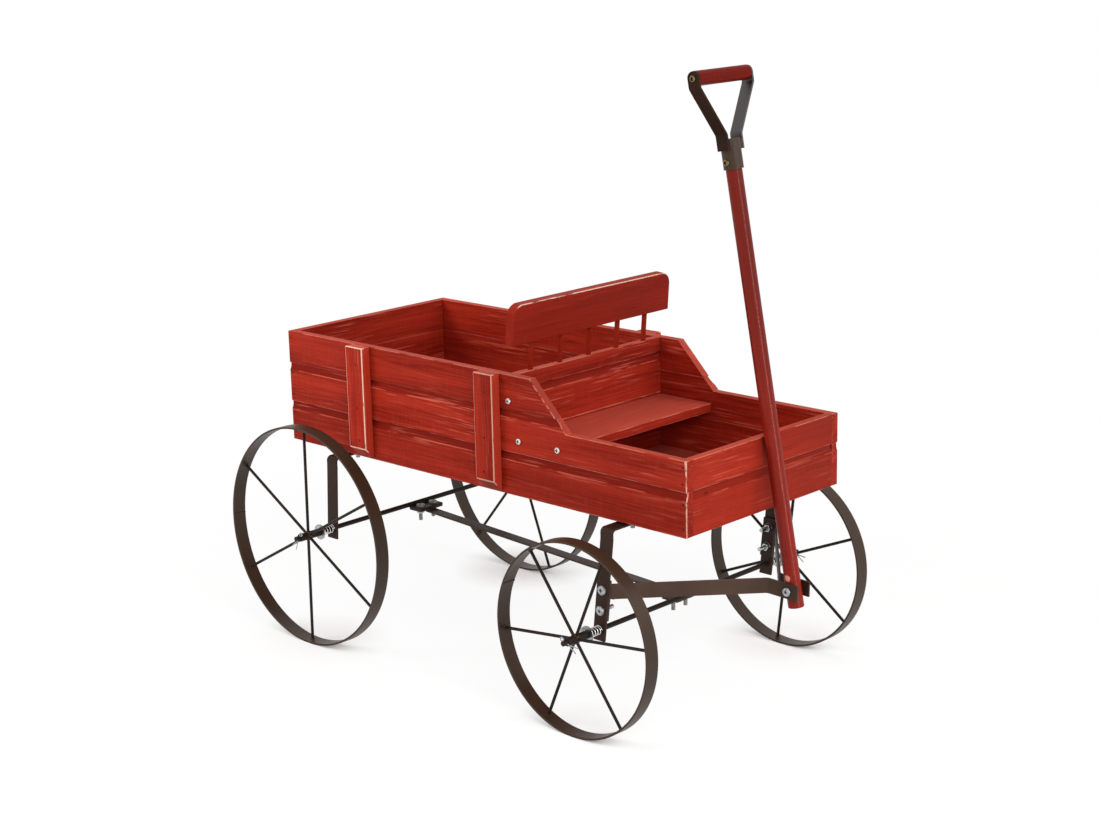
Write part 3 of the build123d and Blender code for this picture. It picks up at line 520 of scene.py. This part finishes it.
# %% Boards
board_tones = ("#7c160a", "#9e2717", "#b63a27", "#cb6150", "#f3d0b8")
wall_tones = ("#8d1f10", "#a02818", "#af3623", "#c35540", "#f3d0b8")
outward = {
    "side_right": (0, -1, 0), "side_left": (0, 1, 0), "batten_right": (0, -1, 0), "batten_left": (0, 1, 0),
    "rear_wall": (-1, 0, 0), "front_wall": (1, 0, 0), "seat_back": (1, 0, 0),
}
board_grains = {
    "batten": "z", "side_": "x", "floor_board": "x",
    "rear_wall": "y", "front_wall": "y", "divider": "y", "seat_b": "y",
}
edge_wear = (0.48, 0.42, "#e8967f")  # where dashes begin, how bare they are, and their colour
batten_edge_wear = {"rear": (0.36, 0.85, "#f3d0b8"), "front": (0.36, 0.45, "#f3d0b8")}
# How much lighter the forward side of a batten is painted, as painted light.
batten_lit_flanks = {"rear": 0.3, "front": 0.8}
board_bevel, batten_bevel = 0.6, 0.9  # in mm
coved_boards = ("lower_board", "middle_board")
dint_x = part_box("front_wall_lower_board")[1].x - 1.0 * MM
dint = ((dint_x, -0.0829, 0.2304), (2.5, 3.6, 0.9), "#5c150c")  # as the marks of wear_down
# Painted shade towards one end of a board, beside the pole on the front wall and towards the front of the
# right side, as the zones of wear_down. It has no dashes.
painted_shade_ends = {
    "front_wall": (-1.0, 0.38, "#651b12", [((0, 1, 0), -0.01, 0.09, 0.0, 1.0)]),
    "side_right": (-1.0, 0.24, "#651208", [((1, 0, 0), 0.02, 0.10, 0.0, 1.0)]),
}
board_strengths = {"batten_right_rear": 1.15, "batten_right_front": 0.86, "side_right_lower_board": 0.92}
face_begin, face_full = 4.5 * MM, 2.5 * MM  # how far behind the outer face wear begins, and is full
end_begin, end_full = 2.0 * MM, 1.0 * MM  # the same for the front end of a side board
butt_begin, butt_full = 1.5 * MM, 0.5 * MM  # how far from a side the wear of a wall fades, and is gone


def by_start(table, node):
    """The entry of a table whose name begins the name of a node, or None."""
    return next((entry for start, entry in table.items() if node.startswith(start)), None)


def edge_zones(node, grain):
    """Where the edges of a board rub through most: at its outer face, and at the free ends of a side board.
    """
    low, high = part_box(node)
    zones = []
    out = by_start(outward, node)
    if out:
        face = max(Vector(out).dot(low), Vector(out).dot(high))
        zones.append((out, face - face_begin, face - face_full, 0.0 if grain == "z" else 0.25, 1.0))
    if grain == "x":
        zones.append(((1, 0, 0), high.x - end_begin, high.x - end_full, 1.0, 1.6))
    if grain == "y":
        for way, end in (((0, 1, 0), high.y), ((0, -1, 0), -low.y)):
            zones.append((way, end - butt_begin, end - butt_full, 1.0, 0.0))
    return zones


boards = 0
for seed, node in enumerate(sorted(nodes)):
    grain = by_start(board_grains, node)
    if not grain:
        continue
    low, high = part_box(node)
    out = by_start(outward, node)
    batten_end = node.rsplit("_", 1)[1] if node.startswith("batten") else None
    look = {
        "marks": (dint,) if node.startswith("front_wall") else (),
        "out": out,
        "cove_top": high.z if out and node.endswith(coved_boards) else None,
        "bare_end": high.x if node.startswith("side_") else None,
        "strength": board_strengths.get(node, 1.0),
        "lit_flank": batten_lit_flanks.get(batten_end, 0.0),
        "turn": grain_turns[grain],
        "seed": seed,
        "tones": wall_tones if node.startswith("front_wall") else board_tones,
    }
    wear = (*batten_edge_wear.get(batten_end, edge_wear), edge_zones(node, grain))
    # The faces of the boards in painted_shade_ends get painted shade towards one end.
    faces = stained_wood("stained_pine_" + node, wear=by_start(painted_shade_ends, node), **look)
    edges = stained_wood("worn_edge_" + node, wear=wear, **look)
    dress(node, faces, edges)
    soften(node, batten_bevel if batten_end else board_bevel)
    boards += 1
print("boards", boards)

# %% [markdown]
# ## Backrest and handle
# The backrest rail was planed smoother and is drawn a little darker, and it is hardly rubbed. The pole and
# the grip are turned from dowel, with long even streaks and a satin coat of stain. The pole leans back on
# the rim of the front box, so its grain is turned by that lean too. Its upper half is drawn darker, and
# just above its pivot the arm of the drawbar has chipped it to the bare wood.

# %% Smooth wood
rail_tones = ("#7c1a0d", "#8c2012", "#962818", "#ac4434", "#f0cbb4")
pole_tones = ("#6c140a", "#7f1c0f", "#902717", "#a64232", "#e0b49c")
grip_tones = ("#5c0d05", "#6e1107", "#7b180b", "#882a1a", "#e0b49c")
pivot = Vector(next(j for j in frame["joints"] if j["name"] == "handle_pivot")["pos_m"])
ferrule_low, ferrule_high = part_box("ferrule")
pole_axis = ((ferrule_low + ferrule_high) / 2 - pivot).normalized()
pole_lean = math.atan2(-pole_axis.x, pole_axis.z)
chip = ((0.2995, -0.0073, 0.1382), (3.4, 2.2, 3.2), "#d88f78")  # as the marks of wear_down
darker_above = (-1.0, 0.55, "#4d0e06", [((0, 0, 1), 0.18, 0.46, 0.0, 1.0)])  # as its wear, with no dashes: the pole is drawn darker towards the top
satin = {"roughness": 0.5, "shine": 0.05}
dowel_seed = 100
smooth_wood = {
    "backrest_rail": {"turn": grain_turns["y"], "tones": rail_tones, "rubbing": 0.25},
    "backrest_spindles": {"turn": grain_turns["z"], "tones": rail_tones, "rubbing": 0.20},
    "handle_pole": {
        "turn": (0, math.radians(90) + pole_lean, 0), "tones": pole_tones, "rubbing": 0.16,
        "marks": (chip,), "strength": 1.2, "wear": darker_above, "varnish": 0.25,
    },
    "handle_grip": {
        "turn": grain_turns["y"], "tones": grip_tones, "rubbing": 0.10, "strength": 0.88, "varnish": 0.04,
    },
}
for seed, (node, look) in enumerate(smooth_wood.items(), start=dowel_seed):
    dress(node, stained_wood("stained_dowel_" + node, seed=seed, **satin, **look))
rail_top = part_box("backrest_rail")[1].z
rail_wear = (0.42, 0.75, "#f0cbb4", [((0, 0, 1), rail_top - 4 * MM, rail_top - 2 * MM, 0.0, 1.0)])
nodes["backrest_rail"].data.materials.append(stained_wood(
    "worn_edge_backrest_rail", seed=dowel_seed, wear=rail_wear, **satin, **smooth_wood["backrest_rail"],
))
soften("backrest_rail", width_mm=0.8, segments=3)
print("pole leans back by", round(math.degrees(pole_lean), 2), "degrees")

# %% [markdown]
# ## Brown powder coat
# Strips and rods were welded or bent, then sprayed with dark brown powder and baked. The coat is even and
# satin, with a fine orange peel of about 0.5 mm, drawn 1.4 mm wide here so that it shows, and slightly
# paler where the coat pulls thin on the edges of a strip. Rods, brackets and the left drawbar arm are drawn
# nearly black, the wheel rims brown, and the right drawbar arm the palest. Its tip turns away from the
# light and is painted darker, as painted shade.

# %% Powder coated steel
peel_width, peel_depth, cloud_width = 1.4 * MM, 0.12 * MM, 45 * MM
thin_edge, tip_shade_length = 0.6 * MM, 22 * MM  # how far a coat is thin beside an edge, and how far a tip is painted darker as shade
spot_reach = 2  # how far the patterns of a coat are moved


def powder_coat(name, colour_hex, edge_hex, seed, shine, shaded_tip=None):
    """Dark powder coat: a plastic skin, so it is not metallic. shaded_tip is the x where painted shade is
    darkest.
    """
    dice = random.Random(seed)
    material = bpy.data.materials.new(name)
    tree = empty_tree(material)
    place = add_node(tree, "TexCoord").outputs["Object"]
    shift = [dice.uniform(-spot_reach, spot_reach) for _ in range(3)]
    spot = add_node(tree, "Mapping", {"Vector": place, "Location": shift})
    clouds = add_node(tree, "TexNoise", {"Vector": spot, "Scale": 1 / cloud_width, "Detail": 3.0})
    grit = add_node(tree, "TexNoise", {"Vector": spot, "Scale": 1 / peel_width, "Detail": 2.0})
    base = linear(colour_hex)
    shade = add_node(tree, "MapRange", {0: clouds, 1: 0.3, 2: 0.7})
    colour = add_node(tree, "Mix", {0: shade, 6: tinted(base, 0.85), 7: tinted(base, 1.25)}, **rgba)
    inner = add_node(tree, "AmbientOcclusion", {
        "Distance": thin_edge,
    }, samples=6, inside=True, only_local=True).outputs["AO"]
    thin = add_node(tree, "MapRange", {0: inner, 1: 0.90, 2: 0.55, 4: 0.55})
    colour = add_node(tree, "Mix", {0: thin, 6: colour, 7: linear(edge_hex)}, **rgba)
    # Painted shade: the tip of the arm turns from the light, so it is drawn darker.
    if shaded_tip:
        ahead = add_node(tree, "SeparateXYZ", {0: place}).outputs["X"]
        tip_shade = add_node(tree, "MapRange", {
            0: ahead, 1: shaded_tip - tip_shade_length, 2: shaded_tip, 4: 0.75,
        }, **smooth)
        colour = add_node(tree, "Mix", {0: tip_shade, 6: colour, 7: tinted(base, 0.4)}, **rgba)
    gloss = add_node(tree, "MapRange", {0: clouds, 3: 0.34, 4: 0.50})
    bump = add_node(tree, "Bump", {"Height": grit, "Strength": 0.20, "Distance": peel_depth})
    coat = add_node(tree, "BsdfPrincipled", {
        "Base Color": colour, "Roughness": gloss, "Normal": bump, "IOR": 1.5, "Specular IOR Level": shine,
    })
    add_node(tree, "OutputMaterial", {"Surface": coat})
    return material


brown_coat = powder_coat("brown_powder_coat", "#352519", "#6d5746", seed=7, shine=0.26)
rod_coat = powder_coat("brown_powder_coat_on_rod", "#231b17", "#4a3d36", seed=8, shine=0.12)
bracket_coat = powder_coat("brown_powder_coat_on_bracket", "#301f17", "#594539", seed=9, shine=0.15)
arm_coats = {
    "yoke_arm_right": powder_coat("dark_powder_coat_right", "#27170f", "#4a3a32", seed=11, shine=0.08),
    "yoke_arm_left": powder_coat("dark_powder_coat_left", "#1e130e", "#4a3a32", seed=12, shine=0.85),
    "drawbar_arm_right": powder_coat(
        "brown_powder_coat_on_drawbar", "#4c3a30", "#7d6758", seed=10, shine=0.14, shaded_tip=pivot.x,
    ),
    "drawbar_arm_left": bracket_coat,
}
strips = [node for node in nodes if node.endswith(("_rim", "_bracket")) or node in ("ferrule", "reach_bar")]
rods = [node for node in nodes if node.endswith(("_spokes", "_hub", "_axle"))]
for node in rods:
    dress(node, rod_coat)
for node in strips + list(arm_coats):
    dress(node, arm_coats.get(node, bracket_coat if node.endswith("_bracket") else brown_coat))
    soften(node, width_mm=0.25)
print("coated strips", len(strips) + len(arm_coats), "and rods", len(rods))

# %% [markdown]
# ## Zinc
# Springs, washers, split pins, bolts, nuts and wood screws are steel with a thin coat of zinc: bright,
# faintly blue and slightly cloudy, with painted shade in every recess. The springs and the wood screws of
# the seat are nearly white, and the bolts of the reach bar are a little rougher and painted darker, as
# painted shade under the bar. The three screws of the handle had a yellow dip after the zinc, which looks
# like dull brass. A metal takes all its colour from its reflection, so the base colour is that of the
# metal. The nails in the wood were never plated and have gone brown.

# %% Zinc plated steel
film_width, grit_width, grit_depth, recess = 3 * MM, 0.8 * MM, 0.08 * MM, 1.2 * MM


def plated_steel(name, colour_hex, dull_hex, roughness):
    """Steel with a thin, cloudy metal or oxide film, and painted shade in its recesses."""
    material = bpy.data.materials.new(name)
    tree = empty_tree(material)
    place = add_node(tree, "TexCoord").outputs["Object"]
    film = add_node(tree, "TexNoise", {"Vector": place, "Scale": 1 / film_width, "Detail": 3.0})
    grit = add_node(tree, "TexNoise", {"Vector": place, "Scale": 1 / grit_width, "Detail": 2.0})
    share = add_node(tree, "MapRange", {0: film, 1: 0.35, 2: 0.65})
    colour = add_node(tree, "Mix", {0: share, 6: linear(colour_hex), 7: linear(dull_hex)}, **rgba)
    # Painted shade: occlusion darkens each recess, such as the cross of a screw head.
    open_air = add_node(tree, "AmbientOcclusion", {"Distance": recess}, samples=6, only_local=True)
    recess_shade = add_node(tree, "MapRange", {0: open_air.outputs["AO"], 1: 0.95, 2: 0.55, 4: 0.92})
    colour = add_node(tree, "Mix", {0: recess_shade, 6: colour, 7: linear("#2a2622")}, **rgba)
    gloss = add_node(tree, "MapRange", {0: film, 3: roughness - 0.08, 4: roughness + 0.12})
    bump = add_node(tree, "Bump", {"Height": grit, "Strength": 0.15, "Distance": grit_depth})
    plate = add_node(tree, "BsdfPrincipled", {
        "Base Color": colour, "Metallic": 1.0, "Roughness": gloss, "Normal": bump,
    })
    add_node(tree, "OutputMaterial", {"Surface": plate})
    return material


bright_zinc = plated_steel("bright_zinc_plate", "#c6c8c9", "#9fa1a1", roughness=0.28)
# Painted shade: the bolts of the reach bar sit under it and are drawn darker.
shaded_zinc = plated_steel("shaded_zinc_plate", "#8f8c86", "#6d6a65", roughness=0.38)
white_zinc = plated_steel("polished_zinc_plate", "#f1efeb", "#dedcd8", roughness=0.26)
yellow_zinc = plated_steel("yellow_zinc_plate", "#94835a", "#6f603c", roughness=0.32)
brown_steel = plated_steel("browned_nail_steel", "#6d2a1f", "#451a13", roughness=0.5)
finishes = {
    "reach_bar_bolts": shaded_zinc, "seat_screws": white_zinc,
    "grip_screws": yellow_zinc, "ferrule_screw": yellow_zinc,
}
plated = [
    "hub_washers", "split_pins", "axle_springs", "bracket_bolts", "drawbar_bolts", "hex_nuts", "pivot_bolt",
    *finishes,
]
for node in plated:
    dress(node, finishes.get(node, bright_zinc))
soften("hub_washers", width_mm=0.2)
soften("hex_nuts", width_mm=0.4)
print("plated pieces", len(plated))

# %% [markdown]
# ## Small round things: tubes along points
# Springs, threads, weld beads and nail heads are all round in section, so one tool sweeps a tube along
# points, with a radius for each of them. The places come from the model itself: a node is split into its
# separate solids, and their boxes say where each bolt, nut and spoke is.

# %% Tube, piece and solids
def tube(bm, points, radii, sides, closed=False):
    """A round tube along points. It has a flat cap at each end, unless its points close a loop."""
    rings = []
    aside = None
    count = len(points)
    for index, (point, radius) in enumerate(zip(points, radii)):
        if closed:
            ahead = points[(index + 1) % count] - points[index - 1]
        else:
            ahead = points[min(index + 1, count - 1)] - points[max(index - 1, 0)]
        ahead.normalize()
        aside = ahead.orthogonal() if aside is None else aside - ahead * aside.dot(ahead)
        aside.normalize()
        other = ahead.cross(aside)
        ring = []
        for step in range(sides):
            turn = 2 * math.pi * step / sides
            ring.append(bm.verts.new(point + (aside * math.cos(turn) + other * math.sin(turn)) * radius))
        rings.append(ring)
    for near, far in zip(rings, rings[1:] + rings[:1] if closed else rings[1:]):
        for step in range(sides):
            after = (step + 1) % sides
            face = bm.faces.new((near[step], near[after], far[after], far[step]))
            face.smooth = True
    if not closed:
        bm.faces.new(list(reversed(rings[0])))
        bm.faces.new(rings[-1])


def show(name, bm, body, material):
    """Turn a bmesh into a piece that rides on a body of the model."""
    mesh = bpy.data.meshes.new(name)
    bmesh.ops.recalc_face_normals(bm, faces=bm.faces)
    bm.to_mesh(mesh)
    bm.free()
    mesh.materials.append(material)
    piece = bpy.data.objects.new(name, mesh)
    scene.collection.objects.link(piece)
    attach(piece, body)
    print(name, len(mesh.polygons), "faces on", body)
    return piece


def solids(node):
    """The separate solids of a model node, each as a list of its points."""
    bm = bmesh.new()
    bm.from_mesh(nodes[node].data)
    bmesh.ops.remove_doubles(bm, verts=bm.verts, dist=same_point)
    seen = set()
    found = []
    for start in bm.verts:
        if start in seen:
            continue
        seen.add(start)
        waiting, points = [start], []
        while waiting:
            vert = waiting.pop()
            points.append(vert.co.copy())
            for edge in vert.link_edges:
                beside = edge.other_vert(vert)
                if beside not in seen:
                    seen.add(beside)
                    waiting.append(beside)
        found.append(points)
    bm.free()
    return sorted(found, key=lambda points: tuple(min(points, key=tuple)))


def corners(points):
    """The lowest and highest corner of some points."""
    return (Vector([min(p[a] for p in points) for a in range(3)]),
            Vector([max(p[a] for p in points) for a in range(3)]))


print("nuts", len(solids("hex_nuts")))

# %% [markdown]
# ## Wound springs
# A spring presses each wheel outwards. The model has a plain coil for it, and the one shown here is wound as
# a real one is: the last part of a turn at each end lies flat, so that the spring stands square on the
# bracket and on the washer. The tube follows a helix whose rise changes where the flat turns begin.

# %% Springs
spring_high, bracket_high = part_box("axle_springs")[1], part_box("front_bracket")[1]
spring_wire = 1.15 * MM
coil_radius = (spring_high.z - wheel_centres["rear_right_wheel"].z) - spring_wire / 2
active_turns, flat_turns, flat_pitch = 4, 0.6, 0.9 * spring_wire
spring_start = bracket_high.y + spring_wire / 2
spring_end = spring_high.y - spring_wire / 2
coil_pitch = (spring_end - spring_start - 2 * flat_pitch * flat_turns) / active_turns
total_turns = active_turns + 2 * flat_turns
steps_per_turn = 32

spring_bm = bmesh.new()
for centre in wheel_centres.values():
    side = math.copysign(1, centre.y)
    points = []
    for step in range(int(total_turns * steps_per_turn) + 1):
        turns = step / steps_per_turn
        coiled = min(max(turns - flat_turns, 0), active_turns)
        out = coil_pitch * coiled + flat_pitch * (turns - coiled)
        turn = 2 * math.pi * turns
        points.append(Vector((
            centre.x + coil_radius * math.cos(turn),
            side * (spring_start + out),
            centre.z + coil_radius * math.sin(turn),
        )))
    tube(spring_bm, points, [spring_wire / 2] * len(points), sides=10)
springs = show("wound_springs", spring_bm, "wagon", white_zinc)
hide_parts("axle_springs")

# %% [markdown]
# ## Threads
# A bolt's tail stands out of its nut and shows its thread. The model's bolts are plain rods, so a fine ridge
# is wound round each tail, from the nut's outer face to just short of the bolt's end. M4 bolts have a pitch
# of 0.7 mm, and the M5 pivot bolt has 0.8 mm.

# %% Bolt threads
pitches = {"drawbar_bolts": 0.7, "reach_bar_bolts": 0.7, "bracket_bolts": 0.7, "pivot_bolt": 0.8}  # in mm
ridge_radius, plain_end, tip_depth = 0.27 * MM, 0.2 * MM, 0.5 * MM
ridge_steps = 16  # points in each turn
nut_boxes = [corners(points) for points in solids("hex_nuts")]
thread_bm = bmesh.new()
for node, pitch_mm in pitches.items():
    pitch = pitch_mm * MM
    for points in solids(node):
        low, high = corners(points)
        along = max(range(3), key=lambda a: (high - low)[a])
        nut_low, nut_high = min(nut_boxes, key=lambda box: ((box[0] + box[1]) - (low + high)).length)
        tail_way = math.copysign(1, (nut_low + nut_high - low - high)[along])
        end = (high if tail_way > 0 else low)[along] - tail_way * plain_end
        start = (nut_high if tail_way > 0 else nut_low)[along]
        tip = [p for p in points if abs(p[along] - end) < tip_depth]
        middle = (corners(tip)[0] + corners(tip)[1]) / 2
        radius = max((p - middle).length for p in tip)
        first, second = (axis for a, axis in enumerate(Matrix.Identity(3)) if a != along)
        turns = abs(end - start) / pitch
        if turns < 1:
            continue
        winding = []
        for step in range(int(turns * ridge_steps) + 1):
            turn = 2 * math.pi * step / ridge_steps
            point = middle + (first * math.cos(turn) + second * math.sin(turn)) * radius
            point[along] = start + tail_way * pitch * step / ridge_steps
            winding.append(point)
        tube(thread_bm, winding, [ridge_radius] * len(winding), sides=6)
show("bolt_threads", thread_bm, "wagon", bright_zinc)

# %% [markdown]
# ## Weld beads
# Spokes are welded to the hub and to the rim, and the rim is a strip whose ends meet in a weld. A bead is a
# row of small lumps, so its tube gets thicker and thinner along its way by chance, from fixed dice. A ring of
# weld follows the round surface that it lies on: a point beside the spoke sits lower on the hub, and nearer
# to the axle on the rim. The powder coat was sprayed over the welds, so they take the same finish.

# %% Wheel welds
weld_dice = random.Random(41)
bead_sides, lump_spread = 8, 0.22


def lumps(count, size):
    """Radii for the points of a weld bead of about this size."""
    return [size * weld_dice.uniform(1 - lump_spread, 1 + lump_spread) for _ in range(count)]


across = Vector((0, 1, 0))
hub_bead, rim_bead, seam_bead = 0.75 * MM, 0.85 * MM, 0.8 * MM
ring_steps, ring_spread = 16, 1.15  # points round a spoke, and the ring's radius as a share of the spoke's
seam_steps, seam_share = 14, 0.94  # points across a rim, and the share of its width that the seam takes
for wheel, centre in wheel_centres.items():
    name = wheel.removesuffix("_wheel")
    hub_low, hub_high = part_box(name + "_hub")
    hub_radius = (hub_high.z - hub_low.z) / 2
    rim_low, rim_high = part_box(name + "_rim")
    weld_bm = bmesh.new()
    spoke_ways = []
    for points in solids(name + "_spokes"):
        way = sum(points, Vector()) / len(points) - centre
        way.y = 0
        way.normalize()
        spoke_ways.append(way)
        tangent = way.cross(across)
        ring_radius = (corners(points)[1].y - corners(points)[0].y) / 2 * ring_spread
        rim_inside = max((p - centre).dot(way) for p in points)
        for surface, size in ((hub_radius, hub_bead), (rim_inside, rim_bead)):
            ring = []
            for step in range(ring_steps):
                turn = 2 * math.pi * step / ring_steps
                beside = ring_radius * math.sin(turn)
                ring.append(
                    centre + way * math.sqrt(surface ** 2 - beside ** 2) + tangent * beside
                    + across * ring_radius * math.cos(turn)
                )
            tube(weld_bm, ring, lumps(ring_steps, size), bead_sides, closed=True)
    seam_way = (spoke_ways[0] + spoke_ways[1]).normalized()  # between the two rearmost spokes
    seam_length = (rim_high.y - rim_low.y) * seam_share
    seam = [
        centre + seam_way * rim_inside + across * seam_length * (step / seam_steps - 0.5)
        for step in range(seam_steps + 1)
    ]
    tube(weld_bm, seam, lumps(seam_steps + 1, seam_bead), bead_sides)
    show(name + "_weld_beads", weld_bm, wheel, brown_coat)

# %% [markdown]
# The frame and the handle have welds as well: the plate in the middle of each axle, the plates at the ends of
# the reach bar, and the lugs of the yoke on the ferrule. A strip lies on a round ferrule only along one line,
# so its welds fill the gap at its two edges.

# %% Frame and handle welds
bead_step, fewest_steps = 1.1 * MM, 4


def straight_bead(bm, start, end, size):
    """A weld bead from one point to another."""
    count = max(fewest_steps, int((end - start).length / bead_step))
    way = [start.lerp(end, step / count) for step in range(count + 1)]
    tube(bm, way, lumps(count + 1, size), bead_sides)


rear_centre, front_centre = wheel_centres["rear_right_wheel"], wheel_centres["front_right_wheel"]
frame_beads = (  # an axle, then in mm how far ahead of it and above it, half the bead's length, and its size
    (rear_centre, 2.7, -1.1, 15.5, 0.9),
    (rear_centre, -0.4, -3.0, 15.5, 0.9),
    (front_centre, 0.4, -3.0, 15.5, 0.9),
    (rear_centre, 17.9, -5.2, 5.5, 0.8),
    (front_centre, -17.6, 0.6, 5.5, 0.8),
)
frame_bm = bmesh.new()
for axle, ahead, above, half, size in frame_beads:
    line = Vector((axle.x + ahead * MM, 0, axle.z + above * MM))
    straight_bead(frame_bm, line - across * (half * MM), line + across * (half * MM), size * MM)
show("frame_weld_beads", frame_bm, "wagon", brown_coat)

lug_bead, lug_inset, lug_depth, lug_stop = 1.25 * MM, 0.6 * MM, 1.6 * MM, 0.8 * MM
lug_foot = 1 * MM  # a lug's lowest part, which is as wide as the lug
handle_bm = bmesh.new()
pole_forward = across.cross(pole_axis)
ferrule_radius = (ferrule_high.y - ferrule_low.y) / 2
ferrule_top = max((v.co - pivot).dot(pole_axis) for v in nodes["ferrule"].data.vertices)
for side, node in ((-1, "yoke_arm_right"), (1, "yoke_arm_left")):
    reach = [(v.co - pivot).dot(pole_axis) for v in nodes[node].data.vertices]
    lowest = min(reach)
    foot = [v.co for v, r in zip(nodes[node].data.vertices, reach) if r < lowest + lug_foot]
    half = max((p - pivot).dot(pole_forward) for p in foot)
    for edge in (-1, 1):
        forward, sideways = edge * (half - lug_inset), side * (ferrule_radius - lug_depth)
        beside = pivot + pole_forward * forward + across * sideways
        bottom, top = beside + pole_axis * (lowest + lug_stop), beside + pole_axis * (ferrule_top - lug_stop)
        straight_bead(handle_bm, bottom, top, lug_bead)
show("ferrule_weld_beads", handle_bm, "handle", brown_coat)

# %% [markdown]
# ## Nails
# Thin nails hold the ends of the side boards to the walls, and the battens to the boards. Their heads are
# about 2 mm across, driven level with the wood and stained over. Each head is a low dome, made as a short
# tube that closes towards its top, and they stand a little out of line, as hand driven nails do.

# %% Nail heads
nail_dice = random.Random(23)
nail_radius, nail_stand = 1.05 * MM, 0.3 * MM
dome_rises, dome_widths = (-1.0, 0.35, 0.75, 1.0), (1.0, 1.0, 0.75, 0.25)  # shares of stand and radius
nail_inset, lower_rise, upper_rise, top_margin = 4.25 * MM, 8.0 * MM, 30.5 * MM, 6.2 * MM
front_rim = 0.265  # the height of the sides beside the front box
batten_shares = (0.845, 0.46, 0.178)  # of a batten's height
board_stray, batten_stray, height_stray = 0.6, 3.5, 0.8  # in mm
nail_bm = bmesh.new()
places = []
for side in ("right", "left"):
    for level in ("lower", "middle", "upper"):
        low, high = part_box(f"side_{side}_{level}_board")
        face_y = low.y if side == "right" else high.y
        for x in (low.x + nail_inset, high.x - nail_inset):
            top = high.z if x < 0 else min(high.z, front_rim)
            if level == "upper" and x > 0:
                continue
            for rise in (lower_rise, min(upper_rise, top - low.z - top_margin)):
                places.append((x, face_y, low.z + rise, board_stray))
    for end in ("rear", "front"):
        low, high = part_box(f"batten_{side}_{end}")
        face_y = low.y if side == "right" else high.y
        for share in batten_shares:
            places.append(((low.x + high.x) / 2, face_y, low.z + (high.z - low.z) * share, batten_stray))
for x, face_y, z, stray in places:
    out = math.copysign(1, face_y)
    x += nail_dice.uniform(-stray, stray) * MM
    z += nail_dice.uniform(-height_stray, height_stray) * MM
    place = Vector((x, face_y, z))
    dome = [place + across * out * nail_stand * rise for rise in dome_rises]
    tube(nail_bm, dome, [nail_radius * width for width in dome_widths], sides=14)
show("nail_heads", nail_bm, "wagon", brown_steel)
print("nails", len(places))
